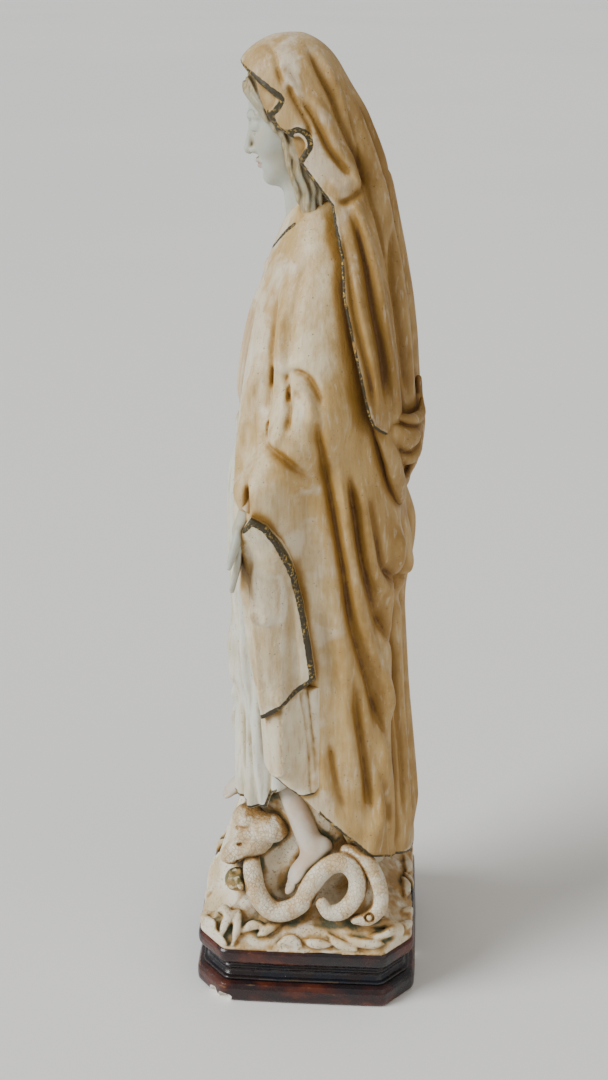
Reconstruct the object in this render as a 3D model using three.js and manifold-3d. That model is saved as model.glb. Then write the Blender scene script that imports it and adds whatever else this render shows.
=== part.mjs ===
// A cast plaster figure of a veiled woman standing on a serpent, on an eight-sided moulded plinth.
// Millimetres, +Z up, origin at the middle of the plinth's underside. The figure faces -Y, and its left is +X.
import * as THREE from "three";
import { mergeVertices } from "three/addons/utils/BufferGeometryUtils.js";
import Module from "manifold-3d";

const wasm = await Module();
wasm.setup();

// ---- driving dimensions ----
const HEIGHT = 400; // whole figure, plinth included
const GAP = 0.35; // left between neighbouring pieces
const SIDES = 28; // facets round a draped section
const PLINTH = { x: 50.5, y: 48.5, cutX: 14, cutY: 12, height: 26 }; // half sizes and corner cuts
const ROD = 2.5; // radius of the iron armature
const WIRE = 0.9; // radius of the wrist wires
const HEAD = new THREE.Vector3(0, -6, 369); // middle of the skull
const SKULL = new THREE.Vector3(16, 18.5, 23.5); // its half sizes
const WRIST = new THREE.Vector3(49, -21, 224);
const SHOULDER = new THREE.Vector3(26, 5, 300);
const ELBOW = new THREE.Vector3(40, 5, 256);

// ---- solids ----
const up = (x, y, z) => new THREE.Vector3(x, y, z);

// A geometry as a manifold solid, with only its positions kept.
function solid(geometry) {
  const bare = new THREE.BufferGeometry().setAttribute("position", geometry.getAttribute("position"));
  if (geometry.index) bare.setIndex(geometry.index);
  const merged = mergeVertices(bare, 1e-4);
  const mesh = new wasm.Mesh({
    numProp: 3,
    vertProperties: new Float32Array(merged.attributes.position.array),
    triVerts: new Uint32Array(merged.index.array),
  });
  return new wasm.Manifold(mesh);
}

// The largest single body of a cut solid.
function largest(shape) {
  return shape.decompose().sort((a, b) => b.volume() - a.volume())[0];
}

// The shape without any of the others.
function without(shape, ...others) {
  return others.reduce((rest, other) => rest.subtract(other), shape);
}

// A closed skin through rings of points that run the same way round, from the lowest ring to the highest.
function loft(rings) {
  const count = rings[0].length;
  const points = rings.flat();
  const faces = [];
  for (let r = 0; r + 1 < rings.length; r++)
    for (let i = 0; i < count; i++) {
      const a = r * count + i;
      const b = r * count + ((i + 1) % count);
      faces.push(a, b, b + count, a, b + count, a + count);
    }
  for (const [ring, lowest] of [[0, true], [rings.length - 1, false]]) {
    const middle = points.length;
    const centre = new THREE.Vector3();
    rings[ring].forEach((p) => centre.addScaledVector(p, 1 / count));
    points.push(centre);
    for (let i = 0; i < count; i++) {
      const a = ring * count + i;
      const b = ring * count + ((i + 1) % count);
      faces.push(...(lowest ? [b, a, middle] : [a, b, middle]));
    }
  }
  return solid(new THREE.BufferGeometry().setFromPoints(points).setIndex(faces));
}

// A level rounded outline: half width, front edge and back edge. Power 2 is an ellipse, and more is squarer.
function outline({ z, x, front, back, power = 2.2 }, grow = 0) {
  const middle = (front + back) / 2;
  const depth = (back - front) / 2 + grow;
  return Array.from({ length: SIDES }, (_, i) => {
    const angle = (2 * Math.PI * i) / SIDES;
    const bend = (v) => Math.sign(v) * Math.abs(v) ** (2 / power);
    return new THREE.Vector3((x + grow) * bend(Math.cos(angle)), middle + depth * bend(Math.sin(angle)), z);
  });
}

// A draped body through level outlines, grown outwards, and a little past its ends where it cuts a neighbour.
function draped(sections, grow = 0, past = grow) {
  const last = sections.length - 1;
  return loft(
    sections.map((s, i) => outline({ ...s, z: s.z + (i === 0 ? -past : 0) + (i === last ? past : 0) }, grow)),
  );
}

// An eight-sided ring of the plinth, inset from its widest outline.
function octagon(z, inset) {
  const x = PLINTH.x - inset;
  const y = PLINTH.y - inset;
  const corners = [[x, y - PLINTH.cutY], [x - PLINTH.cutX, y]];
  const quarter = [...corners, ...corners.map(([a, b]) => [-a, b]).reverse()];
  const all = [...quarter, ...quarter.map(([a, b]) => [-a, -b])];
  return all.map(([a, b]) => new THREE.Vector3(a, b, z));
}

function ellipsoid(centre, half, grow = 0, turn = new THREE.Euler(), around = 14) {
  const ball = new THREE.SphereGeometry(1, around, Math.round(around * 0.7));
  ball.scale(half.x + grow, half.y + grow, half.z + grow);
  ball.applyQuaternion(new THREE.Quaternion().setFromEuler(turn));
  return solid(ball.translate(centre.x, centre.y, centre.z));
}

// A straight round bar from a to b.
function bar(a, b, radiusA, radiusB = radiusA, sides = 10) {
  const along = new THREE.Vector3().subVectors(b, a);
  const cylinder = new THREE.CylinderGeometry(radiusB, radiusA, along.length(), sides);
  cylinder.applyQuaternion(
    new THREE.Quaternion().setFromUnitVectors(new THREE.Vector3(0, 1, 0), along.clone().normalize()),
  );
  const middle = new THREE.Vector3().addVectors(a, b).multiplyScalar(0.5);
  return solid(cylinder.translate(middle.x, middle.y, middle.z));
}

// A prism across the figure, from its outline in (y, z), between two x values.
function sideways(points, fromX, toX) {
  const shape = new THREE.Shape(points.map(([y, z]) => new THREE.Vector2(y, z)));
  const block = new THREE.ExtrudeGeometry(shape, { depth: toX - fromX, bevelEnabled: false });
  const turn = new THREE.Matrix4().makeBasis(
    new THREE.Vector3(0, 1, 0),
    new THREE.Vector3(0, 0, 1),
    new THREE.Vector3(1, 0, 0),
  );
  return solid(block.applyMatrix4(turn).translate(fromX, 0, 0));
}

// A prism from front to back, from its outline in (x, z), between two y values.
function forwards(points, fromY, toY) {
  const shape = new THREE.Shape(points.map(([x, z]) => new THREE.Vector2(-x, z)));
  const block = new THREE.ExtrudeGeometry(shape, { depth: toY - fromY, bevelEnabled: false });
  const turn = new THREE.Matrix4().makeBasis(
    new THREE.Vector3(-1, 0, 0),
    new THREE.Vector3(0, 0, 1),
    new THREE.Vector3(0, 1, 0),
  );
  return solid(block.applyMatrix4(turn).translate(0, fromY, 0));
}

function mirrored(shape) {
  return shape.mirror([1, 0, 0]);
}

// A round tube along a smooth curve, with rounded-off ends left plain.
function tube(points, radius, steps, sides = 10) {
  const section = new THREE.Shape(
    Array.from({ length: sides }, (_, i) => {
      const angle = (2 * Math.PI * i) / sides;
      return new THREE.Vector2(radius * Math.cos(angle), radius * Math.sin(angle));
    }),
  );
  const path = new THREE.CatmullRomCurve3(points);
  return solid(new THREE.ExtrudeGeometry(section, { extrudePath: path, steps, bevelEnabled: false }));
}

// ---- level sections of the drapery, from the lowest to the highest ----
const SKIRT = [
  { z: 50, x: 32, front: -29, back: 36, power: 2.4 },
  { z: 76, x: 33, front: -31, back: 37, power: 2.4 },
  { z: 130, x: 32, front: -30.5, back: 32, power: 2.4 },
  { z: 190, x: 34, front: -32.5, back: 31, power: 2.4 },
  { z: 222, x: 33, front: -32, back: 29, power: 2.3 },
  { z: 246, x: 29, front: -28, back: 25, power: 2.2 },
];
const BODICE = [
  { z: 246 + GAP, x: 26, front: -24, back: 23 },
  { z: 256, x: 27, front: -25, back: 24 },
  { z: 280, x: 29, front: -24, back: 24 },
  { z: 304, x: 27, front: -18, back: 23 },
  { z: 318, x: 19, front: -13, back: 18 },
  { z: 328, x: 11, front: -9, back: 11 },
];
const MANTLE = [
  { z: 42, x: 35, front: -24, back: 47.5, power: 2.6 },
  { z: 72, x: 37, front: -28, back: 45, power: 2.6 },
  { z: 104, x: 40, front: -31, back: 42, power: 2.6 },
  { z: 132, x: 42, front: -32, back: 39, power: 2.7 },
  { z: 161, x: 44, front: -34, back: 37, power: 2.9 },
  { z: 200, x: 46, front: -35, back: 40, power: 3 },
  { z: 226, x: 46, front: -34, back: 38, power: 2.9 },
  { z: 250, x: 44, front: -31, back: 37, power: 2.7 },
  { z: 276, x: 41, front: -28, back: 35, power: 2.5 },
  { z: 300, x: 37, front: -23, back: 32, power: 2.3 },
  { z: 318, x: 29, front: -16, back: 27, power: 2.2 },
  { z: 328, x: 19, front: -11, back: 20 },
];
const VEIL = [
  { z: 232, x: 40, front: -14, back: 42, power: 2.5 },
  { z: 250, x: 43, front: -14, back: 43, power: 2.5 },
  { z: 272, x: 43, front: -14, back: 41, power: 2.4 },
  { z: 300, x: 40.5, front: -14, back: 38, power: 2.3 },
  { z: 318, x: 35.5, front: -12, back: 34.5 },
  { z: 334, x: 28, front: -12, back: 31.5 },
  { z: 346, x: 24.5, front: -16, back: 29 },
  { z: 360, x: 23, front: -22, back: 24 },
  { z: 374, x: 22, front: -26, back: 18 },
  { z: 386, x: 18.5, front: -29, back: 12.5 },
  { z: 394, x: 13, front: -25, back: 7 },
  { z: HEIGHT, x: 4, front: -14, back: -5 },
];
// Side outlines, in (y, z)
const FACE_OPENING = [
  [-60, 388], [-27, 390], [-15, 382], [-9, 376], [-11, 367], [0, 362], [1, 353], [10, 341],
  [9, 333], [14, 307], [24, 259], [30, 226], [-60, 226],
];
const LAPEL = [
  [-20, 228], [-13, 225], [-5, 209], [1, 186], [4, 171], [6, 155], [-5, 146], [-19, 136], [-22, 165],
  [-25, 190], [-25, 212],
];
const HEM_FOLD = [[-18, 150], [8, 150], [10, 92], [2, 96], [-8, 103], [-16, 112]];
// Half width of the mantle's front opening, in (x, z), from the hem to the neck
const OPENING = [
  [40, 40], [40, 112], [34, 150], [35, 196], [33, 214], [26, 226], [21, 250], [16, 280], [11, 305], [6, 332],
];
// Where the mantle's hem runs, from the side: high in front and down to the ground behind
const HEM = [[-60, 20], [-60, 172], [-18, 122], [10, 88], [20, 73], [41, 60], [48, 46], [60, 42], [60, 20]];

const rod = (grow = 0) => bar(up(0, 2, 60 - grow), up(0, 2, 350 + grow), ROD + grow);

// ---- plinth ----
const moulding = (levels) => loft(levels.map(([z, inset]) => octagon(z, inset)));
const plinthFoot = moulding([[0, 1], [1.5, 0], [7.5, 0], [9, 1.5]]);
const plinthCove = moulding([
  [9 + GAP, 1.6], [11, 1.3], [11.8, 3.4], [13.5, 5], [16.5, 5], [18.6, 3],
]);
const plinthRim = moulding([[18.6 + GAP, 2.6], [20, 1.8], [24.5, 1.8], [PLINTH.height, 3]]);

// ---- figure ----
const skirtSolid = (grow = 0) => draped(SKIRT, grow);
const bodiceSolid = (grow = 0) => draped(BODICE, grow);
const mantleBody = (grow = 0) => draped(MANTLE, grow);
const mantleSolid = (grow = 0) => mantleBody(grow).add(armCover(grow)).add(mirrored(armCover(grow)));
const neck = (grow = 0) => bar(up(0, 0, 316 - grow), up(0, -3, 362), 8.5 + grow, 8 + grow, 20);
const headSolid = (grow = 0) => ellipsoid(HEAD, SKULL, grow).add(neck(grow));
const hairSolid = (grow = 0) =>
  ellipsoid(HEAD.clone().add(up(0, 1.4, 1)), SKULL.clone().add(up(1.8, 1, 1.6)), grow);
const sashSolid = (grow = 0) =>
  draped([{ z: 246.6, x: 29, front: -28, back: 25 }, { z: 254, x: 29, front: -28, back: 25 }], grow, 0);

const faceCut = sideways([[-60, 392], [-17, 388], [-10, 372], [-6, 350], [-2, 330], [-60, 330]], -40, 40);
const foot = (grow = 0) =>
  ellipsoid(up(27, -5, 59), up(15, 7.2, 6.6), grow, new THREE.Euler(0, 0.36, -0.32)).add(
    bar(up(17, -6, 92 + grow), up(19, -3, 60 - grow), 6 + grow, 6.6 + grow, 12),
  );
const rightFoot = (grow = 0) =>
  ellipsoid(up(-14, -28, 58), up(6.6, 16, 6), grow, new THREE.Euler(0.34, 0, -0.22));

// The forearm's direction, from the elbow to the wrist
const FOREARM = new THREE.Vector3().subVectors(WRIST, ELBOW).normalize();
const sleeve = (grow = 0) => {
  const cuff = WRIST.clone().addScaledVector(FOREARM, -2 + grow);
  return bar(ELBOW.clone().addScaledVector(FOREARM, 6 - grow), cuff, 7 + grow, 5.8 + grow, 14);
};

// The mantle's cloth over the arm: from the shoulder to the elbow and on to just short of the cuff.
const armCover = (grow = 0) => {
  const end = WRIST.clone().addScaledVector(FOREARM, -7 + grow);
  return bar(SHOULDER, ELBOW, 13 + grow, 12.5 + grow, 16)
    .add(ellipsoid(SHOULDER, up(13.1, 13.1, 13.1), grow, undefined, 16))
    .add(ellipsoid(ELBOW, up(12.6, 12.6, 12.6), grow, undefined, 16))
    .add(bar(ELBOW, end, 12 + grow, 8.6 + grow, 16));
};

// The hand hangs from the wrist with its palm to the front: a palm, four fingers and a thumb.
function hand(grow = 0) {
  const parts = [
    ellipsoid(up(WRIST.x + 1, WRIST.y - 3.5, WRIST.z - 6), up(5.6, 3.2, 8.5), grow),
    bar(up(WRIST.x, WRIST.y - 1, WRIST.z - 1), up(WRIST.x + 1, WRIST.y - 3.5, WRIST.z - 7), 3.4 + grow),
    bar(up(WRIST.x + 5, WRIST.y - 3.5, WRIST.z - 5), up(WRIST.x + 7.6, WRIST.y - 4.5, WRIST.z - 15), 1.7 + grow, 1.3 + grow, 10),
  ];
  for (let finger = 0; finger < 4; finger++) {
    const x = WRIST.x - 3 + finger * 2.6;
    const tip = WRIST.z - [24, 27, 28, 26][finger];
    parts.push(bar(up(x, WRIST.y - 3.5, WRIST.z - 9), up(x + 0.4, WRIST.y - 5.5, tip), 1.5 + grow, 1.1 + grow, 10));
  }
  return parts.reduce((all, part) => all.add(part));
}
const wire = (grow = 0) =>
  bar(
    up(WRIST.x - 1.2, WRIST.y + 5, WRIST.z + 7),
    up(WRIST.x + 0.6, WRIST.y - 3.4, WRIST.z - 5),
    WIRE + grow,
    WIRE + grow,
    8,
  );

// A layer of cloth lying on the mantle or the robe, cut to a side outline.
const layer = (body, inner, outer, outlineYZ) =>
  without(body(outer), body(inner)).intersect(sideways(outlineYZ, 2, 80));
const lapelShape = without(layer(mantleBody, GAP, 4.5, LAPEL), armCover(GAP));
const hemFoldShape = layer(skirtSolid, GAP, 5.5, HEM_FOLD);
const hemFoldRoom = skirtSolid(5.5 + GAP).intersect(
  sideways(HEM_FOLD.map(([y, z]) => [y + (y > -5 ? GAP : -GAP), z + (z > 120 ? GAP : -2 * GAP)]), 1, 80),
);

const leftHand = largest(without(hand(), wire(GAP)));
const leftSleeve = largest(without(sleeve(), hand(GAP), wire(GAP)));
const leftWire = wire();
const leftLapel = largest(without(lapelShape, hand(GAP), sleeve(GAP), wire(GAP)));
const leftHemFold = largest(hemFoldShape);

const opening = forwards([...OPENING, ...OPENING.map(([x, z]) => [-x, z]).reverse()], -80, -2);
const hemCut = sideways(HEM, -80, 80);
const armCuts = [hand(GAP), sleeve(GAP), wire(GAP), hemFoldRoom];
const mantle = largest(
  without(
    mantleSolid(),
    skirtSolid(GAP),
    bodiceSolid(GAP),
    sashSolid(GAP),
    opening,
    hemCut,
    neck(GAP),
    ...armCuts,
    ...armCuts.map(mirrored),
  ),
);

const gatherShape = (grow = 0) =>
  ellipsoid(up(19, 36, 243), up(13, 7.5, 16), grow, new THREE.Euler(0.12, 0, -0.42));
const veil = largest(
  without(
    draped(VEIL),
    sideways(FACE_OPENING, -60, 60),
    mantleSolid(GAP),
    bodiceSolid(GAP),
    hairSolid(GAP),
    headSolid(GAP),
    gatherShape(GAP),
  ),
);
const veilGather = largest(without(gatherShape(), mantleSolid(GAP)));
const hair = largest(without(hairSolid(), headSolid(GAP), faceCut));
const head = largest(without(headSolid(), rod(GAP)));
const bodice = largest(
  without(bodiceSolid(), rod(GAP), neck(GAP), sleeve(GAP), mirrored(sleeve(GAP))),
);
const sash = largest(without(sashSolid(), bodiceSolid(GAP)));

// ---- feet, serpent and ground ----
const SERPENT = [
  up(24, -22, 60), up(33, -19.5, 56.5), up(38.5, -17, 47.5), up(40, -11, 41.5), up(40, -4, 45), up(38.5, 1, 53),
  up(38, 6, 62.5), up(38, 12, 67.5), up(39, 18, 64), up(40.5, 21, 55.5), up(42, 17.5, 46.5), up(42, 10.5, 43.5),
  up(41, 7.5, 49),
];
const TAIL = [
  up(36, 22, 60), up(39, 26, 61), up(41, 30, 55.5), up(42, 31, 47.5), up(42, 27, 41.5), up(41.5, 22, 38.5),
];
const SERPENT_RADIUS = 4;
const serpentTube = (grow = 0) => tube(SERPENT, SERPENT_RADIUS + grow, 44, 8);
const tailTube = (grow = 0) => tube(TAIL, SERPENT_RADIUS - 0.8 + grow, 20, 8);
const serpentHeadSolid = (grow = 0) =>
  ellipsoid(up(22, -26, 63), up(8, 13, 8), grow, new THREE.Euler(0.5, 0, 0.1));
const appleSolid = (grow = 0) => ellipsoid(up(30, -30, 50), up(5, 5, 5), grow, undefined, 12);

const leftFoot = largest(foot());
const rightFootSolid = largest(rightFoot());
const skirt = largest(without(skirtSolid(), rod(GAP), foot(GAP), rightFoot(GAP)));
const serpentHead = largest(without(serpentHeadSolid(), foot(GAP), rightFoot(GAP), skirtSolid(GAP)));
const apple = largest(without(appleSolid(), serpentHeadSolid(GAP)));
const lowerCloth = [skirtSolid(GAP), mantleSolid(GAP).subtract(hemCut)];
const serpentBody = largest(
  without(serpentTube(), serpentHeadSolid(GAP), foot(GAP), ...lowerCloth, appleSolid(GAP)),
);
const serpentTail = largest(without(tailTube(), serpentTube(GAP), ...lowerCloth));
const ground = largest(
  without(
    loft([
      octagon(PLINTH.height + GAP, 3.2),
      octagon(28.5, 3.8),
      outline({ z: 34, x: 45, front: -43.5, back: 44.5, power: 3.4 }),
      outline({ z: 41, x: 38.5, front: -40, back: 42, power: 2.8 }),
      outline({ z: 50, x: 30, front: -37, back: 38, power: 2.4 }),
      outline({ z: 56, x: 20, front: -32, back: 30, power: 2.2 }),
    ].map((ring, i) => (i < 2 ? resampled(ring) : ring))),
    ...lowerCloth,
    foot(GAP),
    rightFoot(GAP),
    serpentTube(GAP),
    tailTube(GAP),
    serpentHeadSolid(GAP),
    appleSolid(GAP),
  ),
);

// The octagon's outline with as many points as a draped section, at matching angles.
function resampled(ring) {
  const z = ring[0].z;
  return Array.from({ length: SIDES }, (_, i) => {
    const angle = (2 * Math.PI * i) / SIDES;
    const ray = up(Math.cos(angle), Math.sin(angle), 0);
    const reach = ring.map((a, k) => {
      const b = ring[(k + 1) % ring.length];
      const edge = up(b.x - a.x, b.y - a.y, 0);
      const cross = ray.x * edge.y - ray.y * edge.x;
      const along = (a.x * edge.y - a.y * edge.x) / cross;
      const share = (a.x * ray.y - a.y * ray.x) / cross;
      return along > 0 && share >= -1e-9 && share <= 1 + 1e-9 ? along : Infinity;
    });
    const distance = Math.min(...reach);
    return up(ray.x * distance, ray.y * distance, z);
  });
}

// ---- the assembly ----
const plaster = (hex, roughness = 0.55) =>
  new THREE.MeshStandardMaterial({ color: hex, roughness, metalness: 0 });
const IVORY = plaster(0xdcc9a6);
const CREAM = plaster(0xe6dcc4);
const FACE = plaster(0xd5d2c6);
const BROWN = plaster(0x4a2113, 0.3);
const BLACK = plaster(0x12151a, 0.25);
const APPLE = plaster(0x6d6436);
const IRON = new THREE.MeshStandardMaterial({ color: 0x55504a, roughness: 0.6, metalness: 0.9 });

const statue = new THREE.Group();
function piece(name, shape, material) {
  const made = shape.getMesh();
  const geometry = new THREE.BufferGeometry()
    .setAttribute("position", new THREE.BufferAttribute(new Float32Array(made.vertProperties), 3))
    .setIndex(new THREE.BufferAttribute(new Uint32Array(made.triVerts), 1));
  geometry.computeVertexNormals();
  const mesh = new THREE.Mesh(geometry, material);
  mesh.name = name;
  statue.add(mesh);
}

piece("plinth_foot", plinthFoot, BROWN);
piece("plinth_cove", plinthCove, BLACK);
piece("plinth_rim", plinthRim, BROWN);
piece("ground", ground, CREAM);
piece("serpent_body", serpentBody, CREAM);
piece("serpent_tail", serpentTail, CREAM);
piece("serpent_head", serpentHead, CREAM);
piece("apple", apple, APPLE);
piece("left_foot", leftFoot, FACE);
piece("right_foot", rightFootSolid, FACE);
piece("robe_skirt", skirt, CREAM);
piece("robe_bodice", bodice, CREAM);
piece("sash", sash, CREAM);
piece("head", head, FACE);
piece("hair", hair, IVORY);
piece("veil", veil, IVORY);
piece("veil_gather", veilGather, IVORY);
piece("mantle", mantle, IVORY);
piece("left_lapel", leftLapel, CREAM);
piece("right_lapel", mirrored(leftLapel), CREAM);
piece("left_hem_fold", leftHemFold, CREAM);
piece("right_hem_fold", mirrored(leftHemFold), CREAM);
piece("left_sleeve", leftSleeve, CREAM);
piece("right_sleeve", mirrored(leftSleeve), CREAM);
piece("left_hand", leftHand, FACE);
piece("right_hand", mirrored(leftHand), FACE);
piece("armature_rod", rod(), IRON);
piece("left_wrist_wire", leftWire, IRON);
piece("right_wrist_wire", mirrored(leftWire), IRON);

export default statue;
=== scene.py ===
"""Looks of a cast and painted plaster statue of a veiled woman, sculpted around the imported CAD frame.

Shapes are sculpted as distance fields in millimetres (x to the figure's left, -y where it faces, z up),
meshed, and turned into metres. A field is a function of an (n, 3) array of points: negative inside.
"""

import math

import bpy
import numpy as np
import openvdb
from mathutils import Matrix, Vector


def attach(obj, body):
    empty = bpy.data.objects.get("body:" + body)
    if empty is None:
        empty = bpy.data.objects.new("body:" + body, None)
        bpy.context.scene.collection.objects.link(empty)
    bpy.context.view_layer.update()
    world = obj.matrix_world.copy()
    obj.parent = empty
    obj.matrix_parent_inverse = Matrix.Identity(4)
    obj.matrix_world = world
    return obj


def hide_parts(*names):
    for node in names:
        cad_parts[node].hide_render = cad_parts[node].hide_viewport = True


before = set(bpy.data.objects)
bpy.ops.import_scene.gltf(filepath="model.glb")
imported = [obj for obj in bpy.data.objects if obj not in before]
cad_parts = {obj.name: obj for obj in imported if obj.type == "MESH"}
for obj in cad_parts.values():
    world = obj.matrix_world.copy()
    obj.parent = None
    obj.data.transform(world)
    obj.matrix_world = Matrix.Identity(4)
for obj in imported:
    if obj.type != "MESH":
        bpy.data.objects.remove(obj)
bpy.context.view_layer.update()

MM = 0.001
UNPAINTED = 50.0  # a distance to the nearest painted line that leaves a place plain
ROOT = "root"

# ---- small mathematics ----


def smooth_min(a, b, k):
    h = np.clip(0.5 + 0.5 * (b - a) / k, 0, 1)
    return b + (a - b) * h - k * h * (1 - h)


def smooth_max(a, b, k):
    return -smooth_min(-a, -b, k)


def smooth_step(t):
    t = np.clip(t, 0, 1)
    return t * t * (3 - 2 * t)


def softened(row, spread):
    """A row of values blurred, with its ends carried on in a straight line."""
    reach = int(3 * spread) + 1
    kernel = np.exp(-0.5 * (np.arange(-reach, reach + 1) / spread) ** 2)
    kernel /= kernel.sum()
    head = 2 * row[0] - row[reach:0:-1]
    tail = 2 * row[-1] - row[-2 : -reach - 2 : -1]
    return np.convolve(np.concatenate([head, row, tail]), kernel, "valid")


def curve_through(points, per_span=6):
    """A smooth line through a few points (Catmull-Rom)."""
    points = np.asarray(points, float)
    if len(points) < 3:
        return points
    ends = [2 * points[0] - points[1], *points, 2 * points[-1] - points[-2]]
    t = np.arange(per_span)[:, None] / per_span
    out = []
    for a, b, c, d in zip(ends, ends[1:], ends[2:], ends[3:]):
        span = 2 * b + (c - a) * t + (2 * a - 5 * b + 4 * c - d) * t**2
        out.append((span + (3 * b - a - 3 * c + d) * t**3) / 2)
    return np.concatenate(out + [points[-1:]])


def along_line(u, v, line):
    """Distance to a line in the (u, v) plane, and how far along it, from 0 to 1."""
    lengths = np.hypot(*np.diff(line, axis=0).T)
    starts = np.concatenate([[0], np.cumsum(lengths)])
    best = np.full(np.broadcast(u, v).shape, 1e9)
    place = np.zeros(best.shape)
    for (ua, va), (ub, vb), size, start in zip(line, line[1:], lengths, starts):
        du, dv = ub - ua, vb - va
        t = np.clip(((u - ua) * du + (v - va) * dv) / (size * size + 1e-9), 0, 1)
        pu, pv = u - ua - t * du, v - va - t * dv
        d = pu * pu + pv * pv
        nearer = d < best
        best = np.where(nearer, d, best)
        place = np.where(nearer, start + t * size, place)
    return np.sqrt(best), place / starts[-1]


def noise(p, scale, seed):
    """Smooth value noise from -1 to 1 with features about scale millimetres across."""
    q = np.asarray(p, float) / scale + seed * 17.3
    cell = np.floor(q).astype(np.int64)
    t = smooth_step(q - cell)
    total = 0
    for corner in np.ndindex(2, 2, 2):
        c = cell + np.array(corner)
        key = (c[:, 0] * 73856093) ^ (c[:, 1] * 19349663) ^ (c[:, 2] * 83492791) ^ (seed * 2654435)
        key = (key ^ (key >> 13)) * 1274126177 & 0xFFFFFF
        weight = np.prod(np.where(corner, t, 1 - t), axis=1)
        total = total + weight * (key / 0x7FFFFF - 1)
    return total


# ---- fields ----


def length(v):
    return np.sqrt((v * v).sum(-1))


def turn(x=0, y=0, z=0):
    """A rotation matrix from angles in degrees, about x, then y, then z."""
    spin = Matrix.Rotation(math.radians(z), 3, "Z") @ Matrix.Rotation(math.radians(y), 3, "Y")
    return np.array(spin @ Matrix.Rotation(math.radians(x), 3, "X"))


def ellipsoid(p, centre, half, rotation=None):
    q = p - np.asarray(centre)
    if rotation is not None:
        q = q @ rotation
    half = np.asarray(half, float)
    k0 = length(q / half)
    k1 = length(q / half**2)
    return k0 * (k0 - 1) / np.maximum(k1, 1e-6)


def capsule(p, a, b, ra, rb=None):
    rb = ra if rb is None else rb
    a, b = np.asarray(a, float), np.asarray(b, float)
    ab = b - a
    t = np.clip((p - a) @ ab / max(ab @ ab, 1e-9), 0, 1)
    return length(p - a - t[:, None] * ab) - (ra + (rb - ra) * t)


def mirror_x(p):
    """Points with their x made positive, so that one arm or fold serves both sides."""
    return np.stack([np.abs(p[:, 0]), p[:, 1], p[:, 2]], -1)


class Outline:
    """Signed distance to a flat outline, kept in a table. Positive outside; unsigned for an open line."""

    def __init__(self, points, axes, closed=True, step=0.5, margin=12, smooth=True):
        self.axes = axes
        self.step = step
        points = np.asarray(points, float)
        if closed:
            points = np.vstack([points, points[:1]])
        line = curve_through(points, 5) if smooth else points
        self.low = line.min(0) - margin
        size = np.ceil((line.max(0) + margin - self.low) / step).astype(int) + 2
        u = self.low[0] + step * np.arange(size[0])[:, None]
        v = self.low[1] + step * np.arange(size[1])[None, :]
        table = along_line(u, v, line)[0]
        if closed:
            inside = np.zeros(table.shape, bool)
            for (ua, va), (ub, vb) in zip(line, line[1:]):
                if va != vb:
                    crosses = (v >= min(va, vb)) & (v < max(va, vb))
                    inside ^= crosses & (u < ua + (v - va) * (ub - ua) / (vb - va))
            table = np.where(inside, -table, table)
        self.table = table

    def __call__(self, p):
        table = self.table
        q = (p[:, self.axes] - self.low) / self.step
        limit = np.array(table.shape) - 1.001
        held = np.clip(q, 0, limit)
        past = length(q - held) * self.step
        cell = held.astype(int)
        t = held - cell
        i, j = cell.T
        s, r = t.T
        near = table[i, j] * (1 - s) + table[i + 1, j] * s
        far = table[i, j + 1] * (1 - s) + table[i + 1, j + 1] * s
        return near * (1 - r) + far * r + past


SIDE = (1, 2)  # an outline drawn from the side, in (y, z)
FRONT = (0, 2)  # an outline drawn from the front, in (x, z)


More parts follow.
